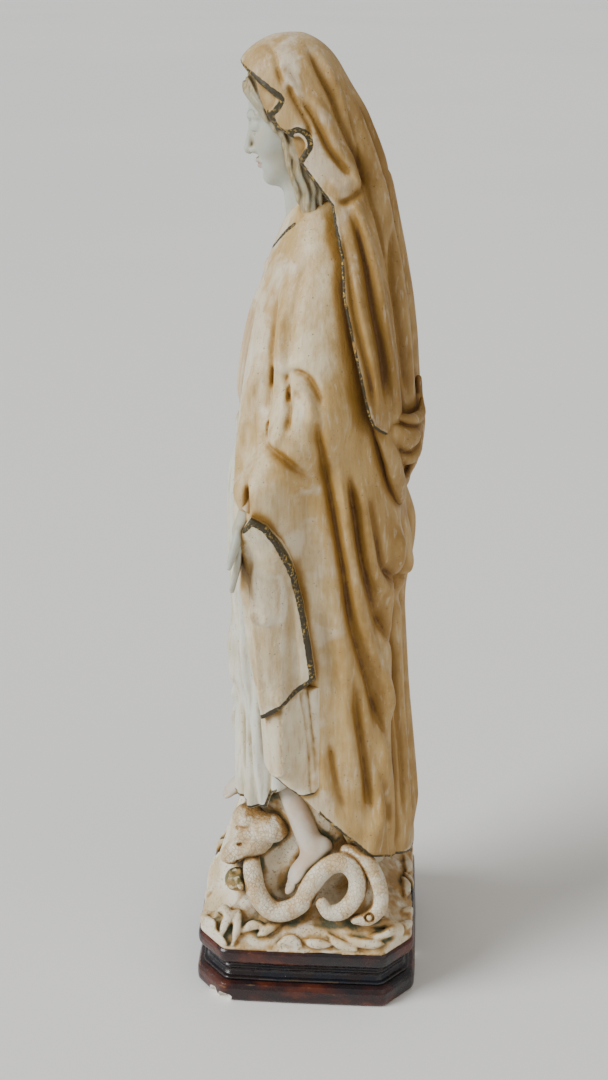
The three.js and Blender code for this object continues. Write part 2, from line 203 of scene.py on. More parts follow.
class Drape:
    """A draped body: a radius for every direction round an upright, leaning axis, and every height.

    Directions are angles from +x, so the figure's left is 0, its back is 90 degrees and its front is -90.
    """

    COLUMNS = 720

    def __init__(self, sections, bulges=(), blend=7.0, rows=0.6, soften=5.0):
        table = np.array(sections, float).T
        self.rows = rows
        self.low, self.high = table[0, 0], table[0, -1]
        self.z = np.arange(self.low, self.high + rows, rows)
        width, front, back, power = (
            softened(np.interp(self.z, table[0], column), soften / rows)[:, None] for column in table[1:]
        )
        self.middle = ((front + back) / 2)[:, 0]
        depth = (back - front) / 2
        self.angle = np.linspace(-np.pi, np.pi, self.COLUMNS, endpoint=False)
        cos, sin = np.abs(np.cos(self.angle)), np.abs(np.sin(self.angle))
        self.base = ((cos / width) ** power + (sin / depth) ** power) ** (-1 / power)
        if bulges:
            self.base = self._swollen(bulges, blend)
        self.relief = np.zeros(self.base.shape)

    def _swollen(self, bulges, blend):
        inner, outer = self.base.copy(), self.base + 30
        for _ in range(11):
            tried = (inner + outer) / 2
            p = np.stack(
                [
                    tried * np.cos(self.angle),
                    self.middle[:, None] + tried * np.sin(self.angle),
                    np.broadcast_to(self.z[:, None], tried.shape),
                ],
                -1,
            ).reshape(-1, 3)
            field = (tried - self.base).ravel()
            for bulge in bulges:
                field = smooth_min(field, bulge(p), blend)
            inside = field.reshape(tried.shape) < 0
            inner = np.where(inside, tried, inner)
            outer = np.where(inside, outer, tried)
        return inner

    def _angles(self, side, points):
        """The directions of points: (y, z) on the left or right, (x, z) on the front or back."""
        out = []
        for across, z in points:
            row = int(np.clip((z - self.low) / self.rows, 0, len(self.z) - 1))
            span = {"left": (-90, 90), "right": (90, 270), "front": (-180, 0), "back": (0, 180)}[side]
            angles = np.radians(np.arange(span[0], span[1] + 1, 1.0))
            column = np.round((angles + np.pi) / (2 * np.pi) * self.COLUMNS).astype(int) % self.COLUMNS
            radius = self.base[row, column]
            if side in ("left", "right"):
                reach = self.middle[row] + radius * np.sin(angles)
            else:
                reach = radius * np.cos(angles)
            order = np.argsort(reach)
            out.append((np.interp(across, reach[order], angles[order]), radius.mean(), z))
        return np.array(out)

    def _patch(self, side, points, reach):
        """The part of the table within reach of a line, with flat coordinates for it and for the line."""
        placed = self._angles(side, points)
        middle = placed[:, 0].mean()
        z = placed[:, 2]
        first = max(int((z.min() - reach - self.low) / self.rows), 0)
        last = min(int((z.max() + reach - self.low) / self.rows) + 2, len(self.z))
        rows = np.arange(first, max(last, first + 1))
        spread = np.abs(placed[:, 0] - middle).max() + reach / self.base[rows].min()
        count = int(min(spread, np.pi) / (2 * np.pi) * self.COLUMNS)
        centre = int(round((middle + np.pi) / (2 * np.pi) * self.COLUMNS))
        columns = np.arange(centre - count, centre + count + 1) % self.COLUMNS
        off = (self.angle[columns] - middle + np.pi) % (2 * np.pi) - np.pi
        grid = np.ix_(rows, columns)
        u = off[None, :] * self.base[grid]
        v = np.broadcast_to(self.z[rows][:, None], u.shape)
        line = []
        for angle, _, height in placed:
            row = int(np.clip((height - self.low) / self.rows, 0, len(self.z) - 1))
            column = int((angle + np.pi) / (2 * np.pi) * self.COLUMNS) % self.COLUMNS
            line.append(((angle - middle) * self.base[row, column], height))
        return grid, u, v, curve_through(line)

    def fold(self, side, points, width, height, kind="ridge", fade=0.2):
        """Raises a rounded ridge along a line, or sinks a groove or a sharp crease, fading at both ends."""
        grid, u, v, line = self._patch(side, points, width)
        d, t = along_line(u, v, line)
        ends = smooth_step(t / fade) * smooth_step((1 - t) / fade)
        if kind == "crease":
            shape = -np.clip(1 - d / width, 0, 1) ** 1.7
        else:
            shape = np.clip(1 - (d / width) ** 2, 0, 1) ** 2 * (-1 if kind == "groove" else 1)
        self.relief[grid] += height * ends * shape

    def both(self, points, *settings, **named):
        """The same fold on the left and on the right."""
        self.fold("left", points, *settings, **named)
        self.fold("right", points, *settings, **named)

    def twin(self, folded=False):
        """The same drape with no folds yet, or with the folds it has."""
        other = Drape.__new__(Drape)
        other.__dict__.update(self.__dict__)
        other.relief = self.relief * (1.0 if folded else 0.0)
        return other

    def finish(self):
        """Adds the relief to the radius, and works out how steep it is so that distances stay true."""
        self.radius = self.base + self.relief
        steep_z = np.gradient(self.radius, self.rows, axis=0)
        step = 2 * np.pi / self.COLUMNS
        ahead, behind = np.roll(self.radius, -1, 1), np.roll(self.radius, 1, 1)
        steep_a = (ahead - behind) / (2 * step) / self.radius
        lean = np.gradient(self.middle, self.rows)[:, None] * np.sin(self.angle)
        self.slope = 1 / np.sqrt(1 + steep_a**2 + (steep_z + lean) ** 2)
        return self

    def polar(self, p):
        rise = np.clip((p[:, 2] - self.low) / self.rows, 0, len(self.z) - 1.001)
        row = rise.astype(int)
        t = rise - row
        middle = self.middle[row] * (1 - t) + self.middle[row + 1] * t
        y = p[:, 1] - middle
        column = (np.arctan2(y, p[:, 0]) + np.pi) / (2 * np.pi) * self.COLUMNS
        first = column.astype(int)
        return row, t, first % self.COLUMNS, (first + 1) % self.COLUMNS, column - first, np.hypot(p[:, 0], y)

    def __call__(self, p):
        row, t, a, b, s, r = self.polar(p)
        lower = self.radius[row, a] * (1 - s) + self.radius[row, b] * s
        upper = self.radius[row + 1, a] * (1 - s) + self.radius[row + 1, b] * s
        inside = (r - lower * (1 - t) - upper * t) * self.slope[row, a]
        return np.maximum(inside, np.maximum(p[:, 2] - self.high, self.low - p[:, 2]))


# ---- meshing ----

PIECES = {}
COARSE = 4  # voxels to a side of the coarse cells, which are tried first
BAND = 3  # how many voxels deep the fine values are kept on either side of the surface
BATCH = 8192  # coarse cells worked out at a time


def surface(field, low, high, voxel):
    """Vertices and quads of the field's zero surface inside a box."""
    low = np.asarray(low, float) - voxel * COARSE
    cells = np.ceil((np.asarray(high) - low) / (voxel * COARSE)).astype(int) + 1
    axes = [low[i] + voxel * COARSE * np.arange(cells[i] + 1) for i in range(3)]
    grid = np.stack(np.meshgrid(*axes, indexing="ij"), -1).reshape(-1, 3)
    rough = field(grid).reshape(cells + 1)
    near = np.zeros(cells, bool)
    for corner in np.ndindex(2, 2, 2):
        part = tuple(slice(c, c + n) for c, n in zip(corner, cells))
        near |= np.abs(rough[part]) < 1.9 * voxel * COARSE  # a little over a coarse cell's diagonal
    limit = BAND * voxel
    base = np.where(rough[:-1, :-1, :-1] < 0, -limit, limit).astype(np.float32)
    fine = base.repeat(COARSE, 0).repeat(COARSE, 1).repeat(COARSE, 2)
    inner = np.array(list(np.ndindex(COARSE, COARSE, COARSE)))
    chosen = np.argwhere(near)
    for start in range(0, len(chosen), BATCH):
        ijk = (chosen[start : start + BATCH, None] * COARSE + inner).reshape(-1, 3)
        values = field(low + ijk * voxel)
        fine[tuple(ijk.T)] = np.clip(values, -limit, limit)
    volume = openvdb.FloatGrid(limit)
    volume.copyFromArray(fine)
    points, quads = volume.convertToQuads(isovalue=0)
    return low + points * voxel, quads


def slope_of(field, p, h):
    total = np.zeros(p.shape)
    for e in ((1, -1, -1), (-1, -1, 1), (-1, 1, -1), (1, 1, 1)):
        e = np.array(e, float)
        total += e * field(p + e * h)[:, None]
    return total / (4 * h)


def settle(field, p, voxel, rounds=2):
    """Moves vertices onto the field's surface, and gives their outward directions."""
    for _ in range(rounds):
        slope = slope_of(field, p, 0.4 * voxel)
        steep = np.maximum(length(slope), 0.2)
        move = np.clip(field(p) / steep, -0.6 * voxel, 0.6 * voxel)
        p = p - slope / steep[:, None] * move[:, None]
    slope = slope_of(field, p, 0.4 * voxel)
    return p, slope / np.maximum(length(slope), 1e-6)[:, None]


class Piece:
    """One sculpted piece: its field, its box, and what it stands for.

    `trims` and `tint` give its painted lines and tints. `bulk` is its shape as a solid, for a thin shell.
    """

    def __init__(self, name, field, low, high, voxel, look, slot, nodes, trims=None, tint=None, bulk=None):
        self.name = name
        self.field = field
        self.low = np.array(low, float)
        self.high = np.array(high, float)
        self.voxel = voxel
        self.look = LOOK[look]
        self.slot = slot
        self.nodes = nodes
        self.trims = trims
        self.tint = tint
        self.bulk = bulk or field
        PIECES[name] = self

    def build(self):
        voxel = self.voxel * 1
        points, quads = surface(self.field, self.low, self.high, voxel)
        points, normals = settle(self.field, points, voxel)
        mesh = bpy.data.meshes.new(self.name)
        mesh.from_pydata((points * MM).tolist(), [], quads.tolist())
        mesh.update()
        face = mesh.polygons[len(mesh.polygons) // 2]
        if np.dot(face.normal, normals[face.vertices[0]]) < 0:
            mesh.flip_normals()
        mesh.shade_smooth()
        shelter = evened(hollow(points, normals, self), quads)
        attributes = {
            "cavity": shelter,
            "wear": edge(points, normals, self.bulk) * (1 - smooth_step(shelter * 2.4)),
            "trim": self.trims(points) if self.trims else np.full(len(points), UNPAINTED),
            "tint": self.tint(points) if self.tint else np.zeros(len(points)),
        }
        for name, values in attributes.items():
            mesh.attributes.new(name, "FLOAT", "POINT").data.foreach_set("value", values.astype(np.float32))
        mesh.materials.append(self.look)
        obj = bpy.data.objects.new(self.name, mesh)
        bpy.context.scene.collection.objects.link(obj)
        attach(obj, ROOT)
        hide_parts(*self.nodes)


def near_field(p, mine, reach):
    """Distance to the nearest of all pieces, for points near the given piece."""
    best = mine.field(p)
    for other in PIECES.values():
        if other is mine:
            continue
        close = np.all((p > other.low - reach) & (p < other.high + reach), axis=1)
        if close.any():
            best[close] = np.minimum(best[close], other.field(p[close]))
    return best


SHELTER_STEPS = [(1.6, 0.3), (4.0, 0.4), (8.0, 0.3)]  # how far out each test goes, and its share
EDGE_STEPS = (1.5, 3.5)  # how far in each test goes


def hollow(points, normals, mine):
    """How sheltered each point is, from 0 in the open to 1 deep in a fold."""
    total = 0
    for reach, share in SHELTER_STEPS:
        clear = near_field(points + normals * reach, mine, reach)
        total = total + share * np.clip(1 - clear / reach, 0, 1)
    return total


def evened(values, quads, rounds=2):
    """Values on the vertices, blended with their neighbours so that the dirt and painted shade in creases
    spread evenly.
    """
    for _ in range(rounds):
        of_face = values[quads].mean(1)
        total = np.bincount(quads.ravel(), of_face.repeat(4), len(values))
        values = total / np.maximum(np.bincount(quads.ravel(), minlength=len(values)), 1)
    return values


def edge(points, normals, field):
    """How exposed each point is, from 0 on a flat to 1 on a sharp edge."""
    total = 0
    for reach in EDGE_STEPS:
        total = total + np.clip(1 + field(points - normals * reach) / reach, 0, 1) / len(EDGE_STEPS)
    return total


# ---- the dress: sections are (z, half width, front, back, squareness) ----

MANTLE = Drape(
    [
        (38, 38, -24, 48, 2.5),
        (64, 39, -27, 46, 2.5),
        (84, 40, -29, 44.5, 2.5),
        (104, 41, -31, 42.5, 2.6),
        (132, 42, -31, 39.5, 2.7),
        (161, 44, -32, 37.5, 2.8),
        (176, 45, -33, 36.5, 2.8),
        (190, 46, -34, 39, 2.8),
        (202, 46.5, -34, 41, 2.8),
        (216, 47, -33, 40, 2.8),
        (232, 46.5, -32, 37, 2.7),
        (250, 44, -31, 36, 2.6),
        (276, 40.5, -27, 34, 2.5),
        (300, 36.5, -22, 31, 2.3),
        (314, 31.5, -17, 28, 2.2),
        (324, 27, -13.5, 25, 2.1),
        (332, 21, -10, 22, 2),
        (339, 15, -6.5, 18, 2),
        (344, 10, -3.5, 14, 2),
    ],
    bulges=[
        lambda p: capsule(mirror_x(p), (24, 4, 301), (37.5, 3, 262), 12.5, 13.5),
        lambda p: capsule(mirror_x(p), (37.5, 3, 262), (47, -16, 234), 13.5, 9),
        lambda p: capsule(mirror_x(p), (47, -16, 234), (48, -15, 226), 9, 7),
        lambda p: capsule(mirror_x(p), (47.5, -13, 226), (42, -10, 112), 7, 2),
    ],
)
VEIL = Drape(
    [
        (226, 36, -14, 38, 2.4),
        (232, 40, -14, 42, 2.4),
        (244, 43, -14, 43.5, 2.4),
        (256, 44, -14, 42.5, 2.4),
        (272, 43.5, -14, 41, 2.4),
        (286, 42, -14, 40, 2.3),
        (302, 39.5, -14, 38, 2.3),
        (318, 35, -12, 35, 2.2),
        (332, 29, -12, 32, 2.2),
        (346, 25, -16, 29, 2.2),
        (359, 23.5, -22, 24.5, 2.2),
        (374, 22, -26, 18, 2.1),
        (387, 17.5, -28, 12, 2),
        (394, 12.5, -25, 7, 2),
        (398, 8, -20, 2, 2),
        (401, 3, -14, -4, 2),
    ],
    bulges=[lambda p: ellipsoid(p, (0, -9, 378), (19.5, 20, 22))],
    blend=4,
    soften=3,
)
SKIRT = Drape(
    [
        (40, 33, -31, 34, 2.5),
        (71, 32.5, -32, 35, 2.5),
        (101, 31.5, -31.5, 34, 2.5),
        (131, 31.5, -31, 32, 2.5),
        (159, 32.5, -31.5, 31, 2.5),
        (187, 34, -33, 31, 2.4),
        (223, 34, -33, 30, 2.4),
        (240, 31, -31, 27, 2.3),
        (252, 28, -28, 25, 2.2),
    ]
)
BODICE = Drape(
    [
        (242, 28, -28.5, 25, 2.2),
        (252, 28, -28.5, 25, 2.2),
        (262, 29, -29.5, 26, 2.2),
        (278, 30, -27.5, 26, 2.2),
        (294, 28, -24, 26, 2.2),
        (310, 24, -19, 24, 2.1),
        (320, 18, -15.5, 19, 2.1),
        (328, 13, -12, 15, 2),
        (334, 10.5, -9, 12, 2),
    ]
)


# the mantle's folds behind: x, the height where each starts, how far it leans, and how high it stands
BACK_FOLDS = [(-27, 226, -4, 2.8), (-13, 222, -3, 2.4), (0, 228, 1, 3.0), (14, 220, 3, 2.4),
              (28, 226, 5, 2.6)]
# short slits in the bend of the sleeve: y, top and length
SLITS = [(-13.4, 281, 9), (-14.2, 262, 8), (-5.6, 277, 8), (-21.2, 240, 12)]


def drape_mantle():
    m = MANTLE
    # the sleeve's folds at the shoulder, the elbow and the wrist
    m.both([(1, 322), (-3, 310), (-5, 296), (-5, 280)], 5, 1.5, "crease")
    m.both([(-12, 312), (-13, 297), (-14, 285), (-14, 270), (-15, 256)], 5, 3.0, "crease")
    m.both([(-18, 304), (-20, 282), (-20, 262), (-19, 246)], 4.5, 1.9)
    m.both([(-9, 304), (-10, 290), (-9, 276)], 4, 1.8)
    m.both([(-9, 273), (-9, 262), (-11, 252)], 3.5, 1.4)
    m.both([(-5, 282), (-7, 276), (-5, 268), (-6, 258)], 2.6, 2.0, "crease")
    m.both([(-7, 281), (0, 280), (4, 276), (8, 268)], 3.4, 2.6, "crease")
    m.both([(-6, 276), (-1, 275.5), (2.5, 271), (5, 262)], 3.2, 1.9)
    m.both([(-19, 257), (-12, 252), (-6, 248), (4, 239)], 3.6, 2.6, "crease")
    m.both([(-16, 248.5), (-9, 246.5), (-2, 241), (2, 235)], 3.6, 1.6)
    m.both([(-11, 259), (-5, 254), (2, 248)], 4, 1.3)
    m.both([(-20, 268), (-19, 252), (-21, 232), (-22, 222)], 3.6, 2.0, "crease")
    m.both([(-24, 262), (-24, 246), (-24, 232)], 3, 1.2)
    for y, top, length_down in SLITS:
        m.both([(y, top), (y - 0.3, top - length_down / 2), (y - 0.2, top - length_down)], 1.5, 2.6,
               "crease", 0.3)
    # long folds falling from the elbow to the hem
    m.both([(5, 274), (6, 259), (10, 236), (14, 212), (20, 173), (25, 154), (30, 133), (36, 112)], 4.6, 3.4,
           "crease", 0.12)
    m.both([(9, 262), (11, 246), (15, 226)], 4, 1.8)
    m.both([(1, 250), (6, 226), (11, 200), (16, 168), (22, 138)], 7, 1.6)
    m.both([(12, 245), (18, 211), (21, 191), (26, 170), (31, 150), (38, 122)], 4.2, 2.8, fade=0.15)
    m.both([(16, 247), (20, 226), (23, 206), (29, 178), (36, 156)], 4.2, 3.2, "crease")
    m.both([(21, 240), (25, 214), (28, 198), (35, 184)], 4.4, 2.4)
    m.both([(24, 238), (28, 214), (33, 196), (40, 184)], 3, 2.2, "crease")
    m.both([(7, 196), (10, 150), (14, 108)], 7, 1.8, "groove")
    m.both([(14, 176), (18, 136), (24, 92)], 7, 1.6)
    m.both([(19, 150), (24, 120), (29, 84)], 5, 1.4, "groove")
    m.both([(0, 160), (3, 130), (6, 104)], 5, 2.2, "crease")
    m.both([(25, 130), (31, 104), (37, 74)], 5, 1.8, "crease")
    m.both([(30, 122), (36, 96), (40, 66)], 6, 1.6)
    m.both([(14, 264), (15, 240), (17, 222)], 3, 1.2)
    m.both([(-2, 210), (2, 196), (4, 180)], 8, 1.0)
    m.both([(18, 168), (22, 134), (26, 104), (30, 78)], 3.6, 2.2, "crease", 0.25)
    m.both([(21, 158), (26, 126), (30, 96), (34, 72)], 4.5, 1.7, fade=0.25)
    m.both([(10, 128), (13, 106), (18, 86)], 4, 1.8, "crease", 0.25)
    m.both([(6, 124), (8, 106), (11, 92)], 5, 1.5, fade=0.25)
    m.both([(34, 176), (37, 140), (40, 104), (42, 70)], 3.4, 2.4, "crease", 0.2)
    # the front edges stand up, with a hollow beside them
    m.fold("front", [(31, 284), (29, 255), (33, 220), (36, 190)], 5, 1.3)
    m.fold("front", [(-31, 284), (-29, 255), (-33, 220), (-36, 190)], 5, 1.3)
    m.fold("front", [(14, 318), (22, 296), (29, 272)], 5, 1.4, "groove")
    m.fold("front", [(-14, 318), (-22, 296), (-29, 272)], 5, 1.4, "groove")
    # the back: deep hanging folds, slightly fanned
    for x, top, lean, high in BACK_FOLDS:
        m.fold("back", [(x, top), (x + lean * 0.4, 170), (x + lean, 110), (x + 1.6 * lean, 60)], 6, high,
               fade=0.12)
    for x, lean in ((-20, -4), (-6, -1), (7, 2), (21, 4)):
        m.fold("back", [(x, 224), (x + lean * 0.5, 150), (x + 1.5 * lean, 55)], 4.6, 3.0, "crease", 0.12)
    m.fold("back", [(34, 214), (20, 196), (2, 190)], 8, 2.0)
    m.fold("back", [(36, 204), (24, 184), (8, 176)], 6, 2.2, "groove")
    return m.finish()


def drape_veil():
    v = VEIL
    # over the crown and down the back, side by side
    v.both([(-17, 398), (-14, 394), (-12, 390), (-11, 386), (-9, 381)], 1.8, 1.3, "crease")
    v.both([(-8, 385), (-6, 379), (-3, 374), (0, 369), (2, 362)], 2.4, 1.8, "crease")
    v.both([(-5, 380), (1, 373), (5, 366), (9, 359), (15, 352), (18, 346)], 3.4, 2.2, "crease")
    v.both([(-2, 397), (2, 391), (5, 385), (9, 378), (12, 370), (16, 362), (20, 354), (24, 334)], 3.4, 2.8,
           "crease", 0.12)
    v.both([(2, 396), (8, 385), (13, 375), (18, 363), (24, 348)], 3.2, 1.7)
    v.both([(-1, 383), (5, 374), (10, 363), (17, 351), (22, 340)], 3.4, 1.4)
    v.both([(-11, 391), (-8, 386), (-5, 381)], 2.6, 0.9)
    v.both([(16, 346), (20, 335), (27, 312), (31, 291), (34, 273), (36, 256)], 3.6, 2.8, fade=0.12)
    v.both([(15, 343), (21, 325), (25, 305), (29, 286), (32, 262)], 3.2, 3.0, "crease")
    v.both([(30, 336), (33, 312), (37, 286), (40, 260)], 4.4, 2.6, "crease")
    v.both([(17, 321), (22, 300), (27, 278), (29, 262)], 2.8, 1.6)
    v.both([(11, 338), (16, 318), (19, 300), (25, 276), (28, 260)], 2.6, 1.6, "crease")
    v.both([(10, 343), (14, 341), (19, 344), (24, 351)], 2.6, 2.2, "crease")
    v.both([(8, 350), (13, 347), (18, 351)], 2.8, 1.0)
    for x, high in ((-16, 2.0), (0, 2.4), (16, 2.0)):
        v.fold("back", [(x * 0.4, 388), (x * 0.7, 350), (x, 300), (x * 1.1, 240)], 5.5, high, fade=0.12)
    for x in (-25, -8, 8, 25):
        v.fold("back", [(x * 0.4, 384), (x * 0.75, 340), (x, 290), (x * 1.05, 246)], 4.2, 2.8, "crease",
               0.12)
    return v.finish()


# pleats in front and the valleys between: x at the sash, the knee and the hem, width, and height or depth
PLEATS = [
    (-18, -25, -28, 4.6, 1.9), (-11, -15, -21, 5.2, 2.4), (-5, -9, -9, 3.6, 1.6), (1, -2, -1, 5.0, 2.2),
    (6, 6, 11, 3.8, 1.7), (12, 15, 15, 5.4, 1.3), (18, 22, 25, 4.4, 2.0),
]
VALLEYS = [
    (-15, -20, -24.5, 3.6, 2.2), (-8, -12, -14, 3.0, 2.6), (-2, -5, -5, 3.2, 1.8), (3, 2, 5, 3.4, 2.6),
    (9, 11, 20, 4.0, 2.0), (16, 21, 29, 3.2, 2.2),
]


def drape_skirt():
    s = SKIRT
    for top, knee, hem, width, high in PLEATS:
        s.fold("front", [(top, 242), (knee, 150), (hem, 56)], width, high, fade=0.08)
    for top, knee, hem, width, deep in VALLEYS:
        s.fold("front", [(top, 240), (knee, 146), (hem, 52)], width, deep, "crease", 0.08)
    # the bent knee, and the folds that drag from it
    s.fold("front", [(13, 168), (14, 150), (13, 130)], 15, 3.6, fade=0.35)
    s.fold("front", [(12, 136), (2, 118), (-8, 92)], 4.5, 1.8)
    s.fold("front", [(10, 130), (1, 108), (-5, 78)], 3.4, 1.8, "crease")
    s.fold("front", [(18, 132), (20, 108), (16, 84)], 4, 1.6, "crease")
    s.both([(-22, 220), (-20, 160), (-21, 110), (-23, 60)], 4, 1.8)
    s.both([(-12, 150), (-12, 110), (-13, 60)], 5, 1.8)
    s.both([(-17, 150), (-16, 110), (-18, 60)], 3.5, 1.8, "crease")
    s.both([(-4, 150), (-3, 110), (-2, 60)], 5, 1.8, "groove")
    s.both([(6, 140), (8, 100), (10, 56)], 5, 1.6)
    return s.finish()


def drape_bodice():
    b = BODICE
    for x, top in ((-14, 300), (-7, 308), (0, 304), (7, 310), (14, 298)):
        b.fold("front", [(x * 0.8, top), (x, 280), (x * 0.8, 256)], 3.2, 1.2)
    for x in (-10, -3.5, 3.5, 10):
        b.fold("front", [(x, 300), (x * 1.1, 276), (x * 0.9, 254)], 2.4, 1.1, "crease")
    b.fold("front", [(-14, 322), (-8, 316), (0, 313), (8, 316), (14, 322)], 2.2, 0.9)
    return b.finish()


drape_mantle()
drape_veil()
drape_skirt()
drape_bodice()

# where each cloth ends, drawn from the side in (y, z) or from the front in (x, z)
OPENING_EDGE = [(36, 196), (33, 214), (26, 226), (23, 250), (18, 280), (12, 305), (5, 322)]
OPENING_HALF = [(50, 30), (44, 100), (40, 150)] + OPENING_EDGE
MANTLE_OPENING = Outline(
    OPENING_HALF + [(0, 326)] + [(-x, z) for x, z in reversed(OPENING_HALF)], FRONT, smooth=False
)
MANTLE_HEM = Outline(
    [(-60, 20), (-60, 160), (-19, 140), (-8, 100), (0, 96), (7, 88), (15, 80), (28, 67), (41, 61), (52, 50),
     (62, 46), (62, 20)],
    SIDE,
    smooth=False,
)
VEIL_FALL = [
    (-15, 371), (-12, 367), (-9, 366), (-6, 364), (-3, 355), (1, 350), (5, 345), (9, 340), (10, 334),
    (13, 322), (14, 308), (19, 286), (24, 264), (26, 259), (33, 253), (38, 243), (42, 228),
]
VEIL_EDGE = Outline(
    [(-60, 391), (-28, 390.5), (-25, 388), (-20, 384), (-18, 377)] + VEIL_FALL + [(44, 222), (-60, 222)],
    SIDE,
    smooth=False,
)


def front_only(p, field, behind=-2.0):
    """A cut that acts in front of a plane across the figure."""
    return np.maximum(field, p[:, 1] - behind)


def mantle_field(p):
    body = MANTLE(p)
    body = smooth_max(body, -front_only(p, MANTLE_OPENING(p)), 1.2)
    return smooth_max(body, -MANTLE_HEM(p), 1.2)


# ---- cloth laid on the mantle ----
LAPEL = MANTLE.twin()
FLAP_LIFT, TIER_LIFT = 4.2, 1.9


def drape_lapel():
    f = LAPEL
    f.both([(-9, 207), (-10, 188), (-9, 169), (-8, 146)], 8, 2.2, "groove", 0.12)
    f.both([(-20, 222), (-22, 190), (-20, 160), (-18, 134)], 5, 1.4, fade=0.1)
    f.both([(-6, 212), (-1, 190), (1, 170), (3, 152)], 4, 0.9, fade=0.1)
    f.both([(-24, 196), (-18, 186), (-10, 182)], 4, 1.0)
    return f.finish()


TIER = MANTLE.twin(folded=True)


def drape_tier():
    f = TIER
    f.both([(-16, 140), (-15, 124), (-13, 106)], 5, 1.6, fade=0.1)
    f.both([(-8, 142), (-7, 122), (-5, 100)], 5, 1.2, fade=0.1)
    f.both([(-2, 150), (1, 126), (3, 98)], 3.4, 1.4, "crease", 0.05)
    return f.finish()


drape_lapel()
drape_tier()
LAPEL_EDGE = [(-19, 228), (-13, 225), (-8, 217), (-4, 207), (0, 190), (3, 171), (5, 155), (-6, 145),
              (-18, 136)]
LAPEL_FRONT = [(-20, 150), (-23, 168), (-25, 188), (-26, 205)]
LAPEL_SHAPE = Outline([(-23, 221)] + LAPEL_EDGE + LAPEL_FRONT, SIDE, smooth=False)
LAPEL_BORDER = Outline([(-23, 223)] + LAPEL_EDGE, SIDE, closed=False, smooth=False)
TIER_EDGE = [(-13, 106), (-7, 102), (-2, 98), (4, 99)]
TIER_SHAPE = Outline(
    [(-17, 150), (-18, 132), (-17, 113)] + TIER_EDGE + [(9, 104), (11, 150)], SIDE, smooth=False
)
TIER_BORDER = Outline([(-16, 110)] + TIER_EDGE, SIDE, closed=False, smooth=False)


def on_side(p, field, side):
    """Keeps a field to the left (1) or right (-1) of the figure."""
    return np.maximum(field, 14 - side * p[:, 0])


def laid(drape, shape, lift, side, sinks=(90, 91)):
    """A layer of cloth lifted off a drape, inside an outline drawn from the side.

    It sinks into the drape between two places towards the back, given as y.
    """

    def field(p):
        body = drape(p)
        raised = lift - (lift + 1) * smooth_step((p[:, 1] - sinks[0]) / (sinks[1] - sinks[0]))
        layer = smooth_max(body - raised, -(body + 2.5), 0.8)
        return on_side(p, smooth_max(layer, shape(p), 1.5), side)

    return field


# ---- head ----
HEAD = np.array([0, -7, 369.5])
BOW = turn(x=12)  # the head's forward tilt
# places on the face's left half, in head coordinates
EYE = (6.3, 12.4, -0.5)
NOSE_TIP = (0, 19.2, -8.6)
LIP_BOW = (0.9, 16.7, -13.1)
CHIN = (0, 12.6, -20.6)


def face_axes(p):
    """Head coordinates: x to its left, forward, and up."""
    q = (p - HEAD) @ BOW
    return np.stack([q[:, 0], -q[:, 1], q[:, 2]], -1)


def between(p, low, high):
    """A level slab between two heights."""
    return np.maximum(low - p[:, 2], p[:, 2] - high)


def head_field(p):
    q = face_axes(p)
    m = mirror_x(q)
    f = ellipsoid(q, (0, -2, 5), (15.4, 18.0, 18.6))
    f = smooth_min(f, ellipsoid(q, (0, 4.6, -7), (12.6, 12.0, 16.4)), 5)
    f = smooth_min(f, ellipsoid(q, (0, 9.8, -18.0), (6.4, 5.4, 5.2)), 5)
    f = smooth_min(f, ellipsoid(m, (7.6, 9.4, -6.2), (4.8, 5.2, 5.4)), 4)
    # brow, eye hollows, lids
    f = smooth_min(f, capsule(m, (2.6, 15.6, 3.6), (9.6, 12.2, 4.0), 1.2, 0.9), 3)
    f = smooth_max(f, -ellipsoid(m, (6.3, 18.0, 0.0), (4.3, 3.3, 2.9)), 2.4)
    ball = ellipsoid(m, EYE, (3.7, 3.7, 3.3))
    lid = np.maximum(ball - 0.55, -(q[:, 2] + 1.5) + 0.25 * (q[:, 1] - 14))
    lower = np.maximum(ball - 0.4, (q[:, 2] + 2.3))
    f = smooth_min(f, ball, 0.8)
    f = smooth_min(f, smooth_min(lid, lower, 0.3), 0.5)
    # nose
    nose = capsule(q, (0, 15.2, 2.2), (0, 19.3, -7.8), 1.25, 1.7)
    nose = smooth_min(nose, ellipsoid(q, NOSE_TIP, (1.9, 1.9, 1.7)), 1.2)
    nose = smooth_min(nose, ellipsoid(m, (2.3, 16.9, -8.9), (1.35, 1.9, 1.35)), 1.0)
    f = smooth_min(f, nose, 1.8)
    f = smooth_max(f, -ellipsoid(m, (1.15, 18.0, -10.4), (0.6, 0.9, 0.7)), 0.5)
    # mouth and chin
    f = smooth_max(f, -capsule(q, (0, 18.0, -10.8), (0, 17.8, -12.2), 0.45), 0.9)
    upper = capsule(m, LIP_BOW, (4.3, 14.6, -14.1), 1.0, 0.5)
    upper = smooth_min(upper, capsule(m, (0, 16.7, -13.4), LIP_BOW, 0.9), 0.5)
    f = smooth_min(f, upper, 1.0)
    f = smooth_min(f, capsule(m, (0, 16.4, -15.6), (3.2, 14.8, -15.1), 1.15, 0.6), 1.0)
    f = smooth_max(f, -capsule(m, (0, 17.9, -14.35), (4.6, 15.1, -14.4), 0.28, 0.2), 0.6)
    f = smooth_max(f, -ellipsoid(q, (0, 17.4, -17.9), (3.4, 1.7, 1.2)), 1.8)
    f = smooth_min(f, ellipsoid(q, CHIN, (3.4, 3.2, 2.8)), 3)
    # neck
    neck = capsule(p, (0, -4, 356), (0, 2, 318), 8.3, 10.5)
    f = smooth_min(f, neck, 4)
    return np.maximum(f, 316 - p[:, 2])


FAR = 6.0  # the distance given to everything beyond the reach of a bar


